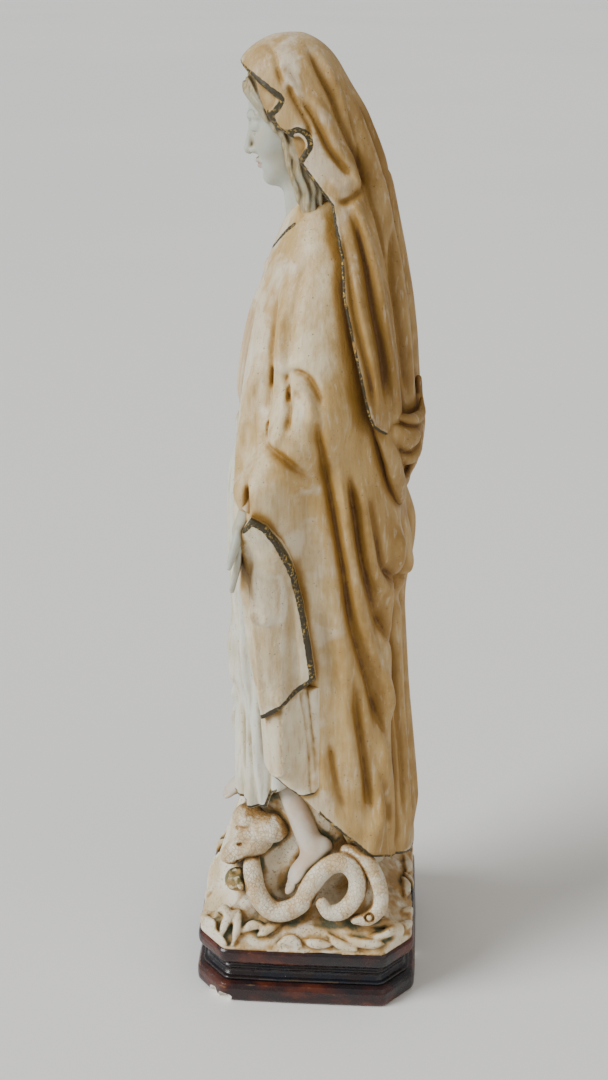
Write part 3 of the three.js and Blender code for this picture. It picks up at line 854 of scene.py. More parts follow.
def lock(p, points, radii):
    """A strand, a finger or a coil: round bars along a smooth line. Past its reach it is just far."""
    line = curve_through(points, 5)
    radii = np.interp(np.linspace(0, 1, len(line)), np.linspace(0, 1, len(radii)), radii)
    best = np.full(len(p), FAR)
    for a, b, ra, rb in zip(line, line[1:], radii, radii[1:]):
        reach = max(ra, rb) + FAR
        near = np.all((p > np.minimum(a, b) - reach) & (p < np.maximum(a, b) + reach), axis=1)
        if near.any():
            best[near] = np.minimum(best[near], capsule(p[near], a, b, ra, rb))
    return best


# strands on one side of the head, in head coordinates (across, forward, up), from the parting to the nape
STRANDS = [
    [(0.8, 15.0, 15.6), (5.5, 14.6, 13.4), (10.4, 11.6, 8.6), (13.2, 8.0, 3.0), (14.2, 4.4, -3.0),
     (13.2, 1.0, -9.5)],
    [(0.8, 12.6, 18.2), (6.0, 12.4, 15.6), (11.6, 9.0, 10.2), (14.4, 5.2, 4.2), (15.0, 1.6, -2.2),
     (13.6, -2.0, -9.5)],
    [(0.8, 9.6, 20.6), (6.6, 9.4, 17.8), (12.6, 6.2, 11.6), (15.4, 2.4, 5.0), (15.4, -1.2, -2.0),
     (13.8, -4.6, -10.0)],
    [(0.8, 6.0, 22.4), (7.2, 5.6, 19.6), (13.4, 2.8, 12.8), (15.8, -1.0, 5.6), (15.6, -4.6, -2.0),
     (13.6, -7.6, -10.0)],
]
# strands that fall beside the neck, in figure coordinates
FALLS = [
    [(12.4, -9.0, 361), (12.2, -6.4, 353), (13.0, -4.6, 347), (12.4, -2.6, 340), (13.4, -0.6, 333),
     (12.6, 0.4, 326)],
    [(13.6, -5.6, 361), (13.8, -3.4, 353), (14.2, -1.4, 346), (14.6, 0.6, 340), (14.0, 2.0, 333),
     (14.8, 3.4, 326)],
    [(12.6, -2.0, 360), (12.6, 0.4, 352), (13.6, 2.4, 345), (13.0, 4.2, 338), (13.6, 5.4, 330),
     (12.8, 6.0, 324)],
]


FOREHEAD = 12  # the height in head coordinates above which the hair covers the whole head


def hair_field(p):
    q = mirror_x(face_axes(p))
    scalp = ellipsoid(q, (0, -2.6, 5.4), (16.2, 17.8, 19.2))
    # in front of a slanting hairline the scalp is cut away, up to the forehead
    across, forward, up = q.T
    bare = np.where(up < FOREHEAD, forward - 7.5 - 0.35 * np.clip(up, -30, 30), -9.0)
    f = smooth_max(scalp, bare, 1.5)
    for strand in STRANDS:
        f = smooth_min(f, lock(q, strand, (1.2, 1.9, 2.0, 2.0, 1.9, 1.4)), 0.6)
    side = mirror_x(p)
    for fall in FALLS:
        f = smooth_min(f, lock(side, fall, (2.2, 2.4, 2.3, 2.2, 2.0, 1.2)), 0.7)
    f = smooth_min(f, capsule(p, (0, 3, 352), (0, 8, 326), 12.5, 11), 3)
    waves = 0.28 * np.sin(forward * 2.1 + 1.3 * np.sin(up * 0.42) + across * 1.1)
    return f + waves


# painted lines of the face, in head coordinates seen from the front (across, up)
BROW_LINE = Outline([(2.4, 4.6), (5.6, 6.2), (8.8, 5.8), (10.8, 4.2)], FRONT, closed=False)
LID_LINE = Outline([(3.2, -2.0), (5.0, -3.0), (7.6, -3.1), (9.6, -2.0)], FRONT, closed=False)


def face_trims(p):
    """Distance to the painted brows and closed lids."""
    m = mirror_x(face_axes(p))
    lines = np.minimum(BROW_LINE(m), LID_LINE(m) + 0.1)
    return np.where(m[:, 1] > 6, lines, UNPAINTED)


def mouth_tint(p):
    q = face_axes(p)
    return smooth_step(0.5 - ellipsoid(q, (0, 15.6, -14.4), (4.4, 3.6, 1.7)) / 0.8)


# ---- hands ----
WRIST = np.array([49.5, -22.5, 224])
# the fingers from the little one to the first: across the palm, radius, and how far the tip reaches down
FINGERS = [(-3.6, 1.25, 24.5), (-1.3, 1.35, 27.5), (1.2, 1.38, 28.5), (3.6, 1.3, 26.5)]
THUMB = [(4.0, -1.8, -4.5), (6.6, -3.0, -9.5), (7.8, -4.2, -14.0), (8.0, -5.2, -17.5)]


def hand_field_for(side):
    """A lowered open hand, its palm to the front, fingers close together and slightly bent."""

    def field(p):
        q = (p * np.array([side, 1, 1]) - WRIST) @ turn(y=-7)
        f = capsule(q, (-0.4, 2.0, 6), (0.2, -0.6, -4), 3.5, 3.7)
        palm = ellipsoid(q, (0.3, -2.0, -8.2), (5.3, 2.5, 7.0))
        f = smooth_min(f, palm, 2.5)
        for n, (x, size, reach) in enumerate(FINGERS):
            spread = (n - 1.5) * 0.5
            tip = x + spread
            finger = [(x, -2.2, -11), (x + spread * 0.5, -2.5, -17), (tip, -3.4, -22), (tip, -4.8, -reach)]
            f = smooth_min(f, lock(q, finger, (1.5, size, size * 0.95, size * 0.75)), 0.5)
        return smooth_min(f, lock(q, THUMB, (2.0, 1.75, 1.5, 1.1)), 1.2)

    return field


def sleeve_field_for(side):
    """The end of the robe's sleeve, a soft cuff round the wrist."""

    def field(p):
        q = p * np.array([side, 1, 1])
        a, b = np.array([46, -12, 238]), np.array([49.2, -19.4, 227])
        f = capsule(q, a, b, 7.2, 6.3)
        along = (q - b) @ ((b - a) / np.linalg.norm(b - a))
        around = np.arctan2(q[:, 1] + 17, q[:, 0] - 48)
        f = f - 0.35 * np.sin(around * 7) * smooth_step(1 + along / 12)
        f = smooth_max(f, along - 1.0, 1.0)
        hole = capsule(q, b - (b - a) * 0.3, b + (b - a) * 0.6, 4.9)
        return smooth_max(f, -hole, 0.6)

    return field


# ---- gathered folds behind ----
# each roll of the tucked cloth: the line through its middle, and its radius
ROLLS = [
    ([(34, 28, 260), (31, 36, 253), (24, 40.5, 252), (13, 42, 263)], 5.0),
    ([(32, 33, 247), (27, 39.5, 243), (19, 42.5, 249), (9, 43, 260)], 3.5),
    ([(31, 33, 236), (27, 37, 233), (21, 40, 235.5)], 2.7),
    ([(33, 33, 262), (29, 40, 259), (22, 44, 259), (17, 44.5, 264)], 2.3),
    ([(9, 43, 270), (14, 43.8, 254), (18, 41.5, 240), (22, 36.5, 226)], 2.4),
]
ROLL_SHAPE = np.array([0.5, 0.9, 1.1, 0.8, 0.4])  # how a roll swells and thins along its line
TUCKS = [((23, 46.5, 265), (34, 36, 265)), ((20, 47, 254), (30, 42, 246.5)),
         ((22, 43.5, 241), (31, 38.5, 238))]
SELVAGE = [(32, 24, 268), (34.5, 29.5, 256), (33.5, 33, 246), (30.5, 35, 236), (26, 36, 228), (20, 36, 221)]


def gather_field(p):
    """The veil's end tucked up in slanting folds, behind one hanging fold that closes them in front."""
    f = ellipsoid(p, (17, 33, 245), (13, 7, 17))
    for roll, radius in ROLLS:
        f = smooth_min(f, lock(p, roll, radius * ROLL_SHAPE), 0.8)
    for tuck in TUCKS:
        f = smooth_max(f, -capsule(p, *tuck, 2.1, 1.5), 0.7)
    f = smooth_min(f, lock(p, SELVAGE, (2.0, 3.4, 3.8, 3.8, 3.4, 2.2)), 0.7)
    return smooth_max(f + 0.25 * noise(p, 5, 21), 221 - p[:, 2], 2)


# ---- feet, serpent and ground ----
TOES = [(1.75, 2.2), (1.4, 2.4), (1.3, 1.8), (1.25, 0.8), (1.2, -0.6)]  # radius, and how far each reaches


def foot_field_for(heel, toes, ankle, side):
    """A bare foot from heel to toes, with its ankle."""
    heel, toes, ankle = (np.array(v, float) for v in (heel, toes, ankle))

    def field(p):
        along = toes - heel
        size = np.linalg.norm(along)
        along /= size
        across = np.cross(along, (0, 0, 1))
        across /= np.linalg.norm(across)
        upward = np.cross(across, along)
        q = np.stack([(p - heel) @ across, (p - heel) @ along, (p - heel) @ upward], -1)
        f = ellipsoid(q, (0, 3, 0.4), (4.4, 5.2, 4.2))
        f = smooth_min(f, ellipsoid(q, (0, size * 0.5, 0.4), (4.7, size * 0.36, 3.7)), 3)
        f = smooth_min(f, ellipsoid(q, (0, size * 0.76, -0.8), (5.8, 5.6, 2.9)), 3)
        f = smooth_min(f, capsule(p, ankle, heel + along * size * 0.26 + upward * 2, 5.6, 5.0), 4)
        for n, (radius, further) in enumerate(TOES):
            x = (n - 2) * 2.35 * side
            f = smooth_min(f, ellipsoid(q, (x, size * 0.9 + further, -1.6), (radius, 3.0, radius)), 0.6)
        return f

    return field


COIL = [
    (26, -24, 58), (33, -23, 55), (38, -20.5, 47.5), (40, -14.5, 41), (40.5, -8, 41), (40, -1, 46),
    (38.5, 3.5, 55), (37.5, 10, 62.5), (37.5, 17.5, 64), (38.5, 22.5, 58), (40.5, 22, 50), (42.5, 17, 44),
    (43, 11, 43), (42.5, 7.5, 47),
]
TAIL = [
    (32, 18, 66), (35, 25, 65), (38, 30, 59), (40.5, 32.5, 52), (42.5, 32, 45.5), (43.5, 27.5, 41),
    (43, 22, 40),
]


def scales(p, size=1.7):
    """A fine pattern of bumps, strongest where three waves meet."""
    u, v, w = p.T * (2 * math.pi / size)
    return np.sin(v + 0.5 * w) * np.sin(w - 0.4 * v) * 0.5 + 0.25 * np.sin(u + v * 0.7)


COIL_RADII = (3.4, 4.1, 4.3, 4.4, 4.4, 4.3, 4.3, 4.2, 4.2, 4.1, 4.0, 3.8, 3.4, 2.6)
TAIL_RADII = (3.6, 3.7, 3.6, 3.4, 3.3, 3.1, 2.2)
TAIL_RING = np.array([46, 28, 43])  # the middle of a ring cut into the tail


def coil_field(p):
    return lock(p, COIL, COIL_RADII) + 0.1 * scales(p)


def tail_field(p):
    f = lock(p, TAIL, TAIL_RADII)
    ring_mark = np.abs(length(p - TAIL_RING) - 1.8) - 0.5
    return smooth_max(f, -ring_mark, 0.4) + 0.08 * scales(p)


SERPENT_HEAD = np.array([23, -25, 63])
SERPENT_LOOK = turn(x=26, z=8)  # the way its head points


def serpent_head_field(p):
    q = (p - SERPENT_HEAD) @ SERPENT_LOOK
    m = mirror_x(q)
    f = ellipsoid(q, (0, 2, 1.5), (8.4, 10.5, 7.4))
    f = smooth_min(f, ellipsoid(q, (0, -7.5, -0.5), (6.0, 7.2, 4.6)), 3)
    f = smooth_min(f, ellipsoid(m, (4.6, -2.0, 6.0), (2.4, 3.2, 2.2)), 1.5)
    f = smooth_max(f, -capsule(m, (0, -15.2, -2.2), (5.6, -6.0, -1.6), 0.7, 0.3), 0.8)
    f = smooth_max(f, -ellipsoid(m, (6.2, -2.6, 5.6), (0.9, 1.0, 0.9)), 0.5)
    lump = smooth_min(ellipsoid(p, (24, -16, 72), (8, 8, 6)), ellipsoid(p, (18, -26, 74), (8, 7, 5)), 3)
    f = smooth_min(f, lump, 1.2)
    return f + 0.16 * noise(p, 1.3, 5) + 0.25 * noise(p, 3.0, 6)


APPLE = np.array([31, -30, 50])


def apple_field(p):
    q = p - APPLE
    f = ellipsoid(q, (0, 0, 0), (5.4, 5.4, 5.0))
    f = smooth_max(f, -ellipsoid(q, (1.2, -1, 5.4), (1.7, 1.7, 1.9)), 1.6)
    leaf = ellipsoid(q @ turn(y=24, z=30), (4.6, -1.5, 4.2), (3.8, 1.8, 0.9))
    return smooth_min(f, leaf, 0.6) + 0.14 * noise(p, 1.6, 9)


# curling tufts on the ground: where each starts (x, y), the way it leans in degrees, its size and its curl
TUFTS = [
    (41, -40, 215, 10, 1), (43, -35, 170, 11, -1), (36, -43, 240, 9, -1), (45, -29, 150, 11, 1),
    (42, -24, 120, 9, -1), (46, -37, 20, 7, 1), (44, -17, 95, 9, 1), (38, -33, 200, 8, 1),
    (45, -43, 300, 6, -1), (30, -44, 260, 8, 1), (40, 27, 70, 17, 1), (44, 33, 85, 16, 1),
    (38, 36, 105, 15, -1), (46, 21, 60, 16, 1), (43, 42, 130, 11, -1), (46, 13, 45, 13, 1),
    (34, 43, 125, 12, 1), (47, 3, 60, 11, 1), (46, -8, 110, 9, -1), (20, 44, 150, 12, -1),
    (6, 44, 165, 11, 1), (14, -45, 250, 9, -1), (2, -45, 280, 8, 1),
]


# the eight-sided outlines: half width, half depth, and how far each corner is cut along x and along y
GROUND_OUTLINE = (48.2, 46.2, 13.5, 11.5)
PLINTH_OUTLINE = (49.6, 47.6, 14, 12)


def octagon_field(p, half_x, half_y, cut_x, cut_y, bow=0.8, round_off=1.6):
    """Distance to the plinth's eight-sided outline, its sides slightly bowed."""
    x, y = np.abs(p[:, 0]), np.abs(p[:, 1])
    side_x = x - half_x - bow * (1 - (y / half_y) ** 2)
    side_y = y - half_y - bow * (1 - (x / half_x) ** 2)
    nx, ny = cut_y, cut_x
    size = math.hypot(nx, ny)
    corner = ((x - half_x) * nx + (y - (half_y - cut_y)) * ny) / size
    return smooth_max(smooth_max(side_x, side_y, round_off), corner, round_off)


def ground_height(x, y):
    """The height of the modelled ground over each point of the plinth."""
    edge_in = np.minimum(50 - np.abs(x), 48 - np.abs(y))
    h = 26.5 + 5.5 * smooth_step(edge_in / 9) + 10 * smooth_step((edge_in - 5) / 20)
    front = np.hypot(x / 30, (y + 20) / 25)
    h = h + 42 * smooth_step(1.25 - front * 1.05)
    h = h + 3 * smooth_step(1 - np.hypot((x - 30) / 16, (y - 24) / 16))
    return h


def ground_field(p):
    x, y, z = p.T
    f = (z - ground_height(x, y)) * 0.62
    core = np.hypot(x / 27, (y - 3) / 27) * 27 - 27
    core = np.maximum(core, z - 94)
    f = smooth_min(f, core, 4) + 1.1 * noise(p, 15, 31) + 0.6 * noise(p, 8, 32)
    for tx, ty, lean, size, curl in TUFTS:
        for mirror in (1, -1):
            base = np.array([tx * mirror, ty, ground_height(np.array(tx), np.array(ty)) - 0.6])
            near = (np.abs(x - base[0]) < size + 4) & (np.abs(y - base[1]) < size + 4)
            near &= z < base[2] + size + 5
            if not near.any():
                continue
            a = math.radians(lean)
            out = np.array([math.cos(a) * mirror, math.sin(a), 0])
            sideways = np.array([-out[1], out[0], 0]) * curl
            points = []
            for t in (0, 0.3, 0.6, 0.85, 1.0):
                spot = base + out * size * (t - 0.3) + sideways * size * 0.42 * t * t
                spot[2] = ground_height(np.array(spot[0]), np.array(spot[1])) + 0.5 + 1.2 * math.sin(t * 2.6)
                points.append(spot)
            piece = lock(p[near], points, (0.9, 2.0, 2.3, 1.7, 0.6))
            f[near] = smooth_min(f[near], piece, 1.0)
    f = f + 0.3 * noise(p, 5, 3) + 0.12 * noise(p, 1.8, 4)
    rim = octagon_field(p, *GROUND_OUTLINE)
    return smooth_max(np.maximum(f, 25.2 - z), rim, 1.5)


# ---- plinth ----
# (height, how far the moulding stands in from its widest outline)
PLINTH_TOP = 26.2
PROFILE = [
    (0, 1.0), (1.2, 0.2), (3, 0), (6.4, 0.1), (8.2, 1.0), (8.9, 2.6), (9.3, 3.6), (9.9, 2.7), (10.6, 2.9),
    (11.1, 4.3), (12.6, 5.2), (14.2, 5.0), (14.9, 4.2), (15.4, 4.3), (16.0, 5.0), (17.4, 4.4), (18.4, 2.9),
    (19.2, 1.6), (20.4, 0.9), (22.6, 0.7), (24.6, 0.9), (25.6, 1.7), (PLINTH_TOP, 3.4),
]
# places where paint and plaster are knocked off: middle and radius
CHIPS = [
    ((49, -35, 1.0), 3.2), ((45, -40, 0.5), 3.0), ((47, 43, 10.5), 2.4), ((46.5, 44, 7.0), 2.6),
    ((44, 47, 4.0), 2.4), ((-50, 30, 2.0), 3.0), ((-20, -49, 1.5), 2.8), ((-47, -41, 24.5), 2.2),
    ((10, 49, 2.0), 3.0), ((-40, 45, 25), 2.0),
]


def plinth_whole(p):
    heights, insets = np.array(PROFILE).T
    inset = np.interp(p[:, 2], heights, insets)
    f = (octagon_field(p, *PLINTH_OUTLINE) + inset) * 0.78
    f = smooth_max(f, np.maximum(p[:, 2] - PLINTH_TOP, -p[:, 2]), 0.6)
    for centre, radius in CHIPS:
        bite = length(p - np.array(centre)) - radius
        close = bite < 4
        if close.any():
            rough = 0.7 * noise(p[close], 1.6, 11)
            f[close] = smooth_max(f[close], -(bite[close] + rough), 0.3)
    return f + 0.1 * noise(p, 7, 8)


def chipped(p):
    """Distance to the knocked-off places, negative inside them."""
    near = np.full(len(p), UNPAINTED)
    for centre, radius in CHIPS:
        near = np.minimum(near, length(p - np.array(centre)) - radius - 0.5)
    return near + 0.9 * noise(p, 1.6, 11)


def plinth_field_for(low, high):
    """The part of the plinth between two heights."""
    return lambda p: np.maximum(plinth_whole(p), between(p, low, high))


# ---- robe details ----
SKIRT_HEM = Outline(
    [(-60, 30), (-60, 83), (-30, 82), (-17, 84), (-14, 93), (-4, 98), (4, 97), (10, 86), (22, 60), (40, 44),
     (40, 30)],
    SIDE,
    smooth=False,
)
COLLAR = Outline([(-15, 331), (-11, 326), (-6, 322), (0, 320), (6, 322), (11, 326), (15, 331)], FRONT,
                 closed=False)


def skirt_field(p):
    return smooth_max(SKIRT(p), -SKIRT_HEM(p), 1.2)


SASH_HEIGHT = 249.5


def sash_field(p):
    waist = np.stack([p[:, 0], p[:, 1], np.full(len(p), SASH_HEIGHT - 0.5)], -1)
    body = np.minimum(SKIRT(waist), 30)
    rounded = np.abs(p[:, 2] - SASH_HEIGHT) - 3.4
    f = smooth_max(body - 1.6, rounded, 1.8)
    f = f + 0.3 * np.sin(p[:, 2] * 2.2)
    return np.maximum(f, p[:, 1] + 6)


# ---- painted borders: distance to the middle of the nearest line ----
VEIL_BORDER = Outline(
    [(-29, 391), (-25, 388), (-20, 384.5), (-18, 378)] + VEIL_FALL, SIDE, closed=False, smooth=False
)
OPENING_BORDER = Outline(OPENING_EDGE, FRONT, closed=False, smooth=False)


def veil_trims(p):
    near = VEIL_BORDER(p)
    for line in VEIL_LOBES:
        near = np.minimum(near, line(p))
    return np.maximum(near - 0.2, -veil_outside(p) - 0.4)


def mantle_trims(p):
    opening = np.where(p[:, 1] < -6, OPENING_BORDER(mirror_x(p)), UNPAINTED)
    hem = np.where(p[:, 1] > 6, np.abs(MANTLE_HEM(p) - 0.8) + 0.3, UNPAINTED)
    return np.minimum(np.minimum(opening, hem), collar_trims(p))


def collar_trims(p):
    return np.where(p[:, 1] < 0, COLLAR(p), UNPAINTED)


def skirt_trims(p):
    return np.where(p[:, 1] < -12, np.abs(SKIRT_HEM(p) - 1.0) + 0.2, UNPAINTED)


def lapel_trims(p):
    return np.maximum(LAPEL_BORDER(p) - 0.9, FLAP_LIFT - LAPEL(p) - 0.8)


# inner folds seen inside the painted edge
VEIL_POCKETS = [
    Outline([(-24, 386.5), (-20, 384), (-15, 380.5), (-12, 378), (-13, 375.5), (-16, 373), (-20, 379)],
            SIDE, smooth=False),
    Outline([(-6, 364), (-3, 364.5), (-1, 362), (-2, 358.5), (-4, 357)], SIDE),
]
VEIL_LOBES = [
    Outline([(-25, 388), (-20, 385), (-14, 381), (-10, 378), (-11, 375), (-14, 372)], SIDE, closed=False),
    Outline([(-14, 372), (-11, 367), (-7, 366), (-4, 367), (-1, 366), (1, 362), (-1, 358), (-3, 355)], SIDE,
            closed=False),
]


VEIL_THICK = 3.2
CROWN_BASE = 350  # the height where the crown's dome starts


def veil_outside(p):
    """The veil's outer surface, rounded off over the crown."""
    above = np.stack([p[:, 0], p[:, 1], np.maximum(p[:, 2], CROWN_BASE)], -1)
    dome = ellipsoid(above, (0, -7, CROWN_BASE), (34, 37, 50.6))
    return smooth_max(VEIL(p), dome - np.maximum(CROWN_BASE - p[:, 2], 0), 2)


def veil_field(p):
    body = veil_outside(p)
    shell = smooth_max(body, -(body + VEIL_THICK), 0.8)
    shell = smooth_max(shell, -VEIL_EDGE(p), 1.4)
    for pocket in VEIL_POCKETS:
        shell = smooth_max(shell, -np.maximum(pocket(p), -(body + 1.7)), 0.7)
    return shell


def veil_bulk(p):
    """The veil as if it were solid, for judging its edges."""
    return smooth_max(veil_outside(p), -VEIL_EDGE(p), 1.4)


# ---- looks: every colour is mixed from noise, shelter, wear and painted lines; shelter and the back also paint shade ----
PER_METRE = 1000  # millimetres in a metre


class Paint:
    """One material's nodes, under short names. Sizes are in millimetres and places in metres."""

    def __init__(self, name):
        self.material = bpy.data.materials.new(name)
        self.material.use_nodes = True
        self.tree = self.material.node_tree
        self.shader = self.tree.nodes["Principled BSDF"]
        self.place = self.tree.nodes.new("ShaderNodeTexCoord").outputs["Object"]
        parts = self.tree.nodes.new("ShaderNodeSeparateXYZ")
        self.put(parts.inputs[0], self.place)
        self.x, self.y, self.z = parts.outputs

    def put(self, socket, value):
        if isinstance(value, bpy.types.NodeSocket):
            self.tree.links.new(value, socket)
        elif socket.type == "RGBA":
            socket.default_value = (*value, 1)
        else:
            socket.default_value = value

    def stored(self, name):
        """A value kept on the mesh: cavity, wear, trim or tint."""
        node = self.tree.nodes.new("ShaderNodeAttribute")
        node.attribute_name = name
        return node.outputs["Fac"]

    def maths(self, kind, a, b=0.0):
        node = self.tree.nodes.new("ShaderNodeMath")
        node.operation = kind
        self.put(node.inputs[0], a)
        self.put(node.inputs[1], b)
        return node.outputs[0]

    def total(self, *terms):
        """A sum of values, each written (value, share)."""
        result = 0.0
        for value, share in terms:
            result = self.maths("ADD", result, self.maths("MULTIPLY", value, share))
        return result

    def band(self, value, start, end):
        """Eases from 0 at `start` to 1 at `end`."""
        node = self.tree.nodes.new("ShaderNodeMapRange")
        node.interpolation_type = "SMOOTHSTEP"
        self.put(node.inputs["Value"], value)
        rising = start < end
        node.inputs["From Min"].default_value = min(start, end)
        node.inputs["From Max"].default_value = max(start, end)
        node.inputs["To Min"].default_value = 0 if rising else 1
        node.inputs["To Max"].default_value = 1 if rising else 0
        return node.outputs["Result"]

    def spot(self, seed, stretch):
        """The place a texture is read at, moved by a seed and squeezed along the axes."""
        node = self.tree.nodes.new("ShaderNodeVectorMath")
        node.operation = "MULTIPLY_ADD"
        self.put(node.inputs[0], self.place)
        node.inputs[1].default_value = stretch
        node.inputs[2].default_value = (seed * 0.37, seed * 0.61, seed * 0.83)
        return node.outputs[0]

    def clouds(self, size, seed=0, detail=4.0, stretch=(1, 1, 1), swirl=0.0):
        """Soft random patches of a size, with values near 0.5."""
        node = self.tree.nodes.new("ShaderNodeTexNoise")
        self.put(node.inputs["Vector"], self.spot(seed, stretch))
        node.inputs["Scale"].default_value = PER_METRE / size
        node.inputs["Detail"].default_value = detail
        node.inputs["Distortion"].default_value = swirl
        return node.outputs["Fac"]

    def cells(self, size, seed=0, stretch=(1, 1, 1), edges=False):
        """Distance from the middles or the edges of random cells of a size."""
        node = self.tree.nodes.new("ShaderNodeTexVoronoi")
        node.feature = "DISTANCE_TO_EDGE" if edges else "F1"
        self.put(node.inputs["Vector"], self.spot(seed, stretch))
        node.inputs["Scale"].default_value = PER_METRE / size
        return node.outputs["Distance"]

    def mix(self, share, a, b):
        """A mix of two colours. A mix node has sockets of every type, and 6, 7 and 2 are the colours."""
        node = self.tree.nodes.new("ShaderNodeMix")
        node.data_type = "RGBA"
        self.put(node.inputs[0], share)
        self.put(node.inputs[6], a)
        self.put(node.inputs[7], b)
        return node.outputs[2]

    def over(self, colour, mask, strength, other):
        """A colour with another laid over it at part strength, where a mask is set."""
        return self.mix(self.maths("MULTIPLY", mask, strength), colour, other)

    def relief(self, *layers):
        """Stacked bumps, each written (height, depth in millimetres)."""
        normal = None
        for height, depth in layers:
            node = self.tree.nodes.new("ShaderNodeBump")
            node.inputs["Distance"].default_value = depth * MM
            self.put(node.inputs["Height"], height)
            if normal is not None:
                self.put(node.inputs["Normal"], normal)
            normal = node.outputs["Normal"]
        self.put(self.shader.inputs["Normal"], normal)

    def done(self, colour, roughness):
        self.put(self.shader.inputs["Base Color"], colour)
        self.put(self.shader.inputs["Roughness"], roughness)
        return self.material


PALE = (0.80, 0.73, 0.58)
UMBER = (0.16, 0.075, 0.018)
OLIVE = (0.038, 0.027, 0.007)
GOLD = (0.52, 0.34, 0.09)
PLASTER = (0.86, 0.84, 0.79)


def painted_line(p, colour, half_width, seed, broken):
    """Lays the hand-painted border over a colour: dark olive with worn gold in it, broken in places.

    Gives its mask and its glints as well as the colour.
    """
    line = p.total((p.stored("trim"), 1), (p.clouds(2.4, seed, 3), 0.9), (1.0, -0.45))
    gaps = p.band(p.clouds(17, seed + 1, 3), broken - 0.03, broken + 0.03)
    laid = p.maths("MULTIPLY", p.band(line, half_width + 0.22, half_width - 0.1), gaps)
    glint = p.maths("MULTIPLY", p.band(p.clouds(1.1, seed + 2, 3), 0.5, 0.64),
                    p.band(p.clouds(9, seed + 3), 0.4, 0.6))
    return laid, glint, p.mix(laid, colour, p.mix(glint, OLIVE, GOLD))


def aged_and_shaded_cloth(name, clean, warm, deep, seed, age, line, broken):
    """Painted plaster cloth: clean on ridges, amber in folds and towards the back from dirt and painted
    shade, rubbed on edges.
    """
    p = Paint(name)
    shelter, worn = p.stored("cavity"), p.stored("wear")
    patches = p.clouds(38, seed, 5, (1, 1, 0.6), 0.8)
    runs = p.clouds(7, seed + 1, 4, (1, 1, 0.13))
    mottle = p.clouds(9, seed + 13, 5)
    # painted shade: the cloth grows warmer and darker towards the back, away from the light
    shade_towards_back = p.band(p.y, -0.012, 0.042)
    # random warm tone from patches, runs and mottle, with painted shade in hollows and towards the back
    warmth = p.total((patches, 2.6), (runs, 0.7), (mottle, 0.9), (shade_towards_back, 0.7), (shelter, 1.0),
                     (1.0, age - 1.75))
    colour = p.mix(p.band(warmth, -0.1, 1.0), clean, warm)
    # dirt in folds, with painted shade there and towards the back, darkest in the crease bottoms
    dirt_and_shade = p.total((shelter, 1.0), (runs, 0.6), (shade_towards_back, 0.32), (mottle, 0.4), (1.0, age * 0.3 - 0.2))
    colour = p.mix(p.band(dirt_and_shade, 0.5, 1.0), colour, deep)
    colour = p.mix(p.band(dirt_and_shade, 1.08, 1.45), colour, UMBER)
    rubbed = p.total((worn, 1.2), (p.clouds(5, seed + 3, 5), 0.9), (patches, -0.6), (shade_towards_back, -0.25),
                     (shelter, -1.2))
    colour = p.over(colour, p.band(rubbed, 0.5, 1.0), 0.6, PALE)
    # painted light: pale patches on the open parts that face the front and the light
    lit_open_front = p.maths("MULTIPLY", p.band(shelter, 0.3, 0.08), p.band(p.y, 0.03, -0.005))
    bare = p.maths("MULTIPLY", p.band(p.clouds(26, seed + 4, 5, swirl=0.5), 0.52, 0.62), lit_open_front)
    colour = p.over(colour, bare, 0.6, PALE)
    busy = p.band(p.clouds(11, seed + 6), 0.48, 0.62)
    flecks = p.maths("MULTIPLY", p.band(p.clouds(0.9, seed + 5, 2), 0.64, 0.72), busy)
    colour = p.over(colour, flecks, 0.6, UMBER)
    pits = p.band(p.cells(3.6, seed + 7), 0.085, 0.04)
    colour = p.over(colour, pits, 0.6, UMBER)
    brushed = p.clouds(1.6, seed + 10, 4, (1, 1, 0.16))
    colour = p.over(colour, p.band(brushed, 0.5, 0.72), 0.28, deep)
    dry_brush = p.maths("MULTIPLY", p.band(brushed, 0.46, 0.28), p.band(shelter, 0.35, 0.1))
    colour = p.over(colour, dry_brush, 0.28, PALE)
    laid, glint, colour = painted_line(p, colour, line, seed + 8, broken)
    grain = p.clouds(0.8, seed + 9, 3)
    p.relief((laid, 0.22), (pits, -0.25), (p.clouds(4.5, seed + 11, 4), 0.4), (brushed, 0.2), (grain, 0.1))
    p.put(p.shader.inputs["Metallic"], p.maths("MULTIPLY", p.maths("MULTIPLY", laid, glint), 0.7))
    gloss = p.total((p.clouds(8, seed + 12), 0.35), (shelter, 0.25), (laid, -0.05), (1.0, 0.32))
    return p.done(colour, gloss)


def aged_and_shaded_skin(name, cool, warm, seed):
    """Matt grey-white paint on the face, hands and feet, with thin brown brows and lids, a dull mouth, and
    dirt and painted shade in its hollows.
    """
    p = Paint(name)
    shelter, worn, tint = p.stored("cavity"), p.stored("wear"), p.stored("tint")
    patches = p.total((p.clouds(13, seed, 5), 1), (p.clouds(4, seed + 8, 4), 0.35), (1.0, -0.17))
    colour = p.mix(p.band(patches, 0.36, 0.64), cool, warm)
    # dirt and painted shade: darker brown in the hollows of the face, hands and feet
    skin_dirt_and_shade = p.total((shelter, 1.0), (p.clouds(5, 32), 0.4))
    colour = p.mix(p.band(skin_dirt_and_shade, 0.42, 1.0), colour, (0.36, 0.31, 0.2))
    colour = p.mix(p.band(skin_dirt_and_shade, 0.85, 1.2), colour, (0.17, 0.12, 0.06))
    colour = p.over(colour, p.band(worn, 0.45, 0.8), 0.5, (0.74, 0.74, 0.68))
    colour = p.over(colour, tint, 0.5, (0.42, 0.2, 0.14))
    thin = p.band(p.total((p.stored("trim"), 1), (p.clouds(1.2, 33), 0.3), (1.0, -0.15)), 0.4, 0.1)
    colour = p.over(colour, thin, 0.5, (0.16, 0.115, 0.07))
    specks = p.band(p.clouds(0.8, 34, 2), 0.68, 0.75)
    colour = p.over(colour, specks, 0.3, (0.25, 0.2, 0.12))
    p.relief((p.clouds(3, 35, 4), 0.12), (p.clouds(0.6, 36, 3), 0.03))
    return p.done(colour, p.total((p.clouds(6, 37), 0.3), (1.0, 0.36)))


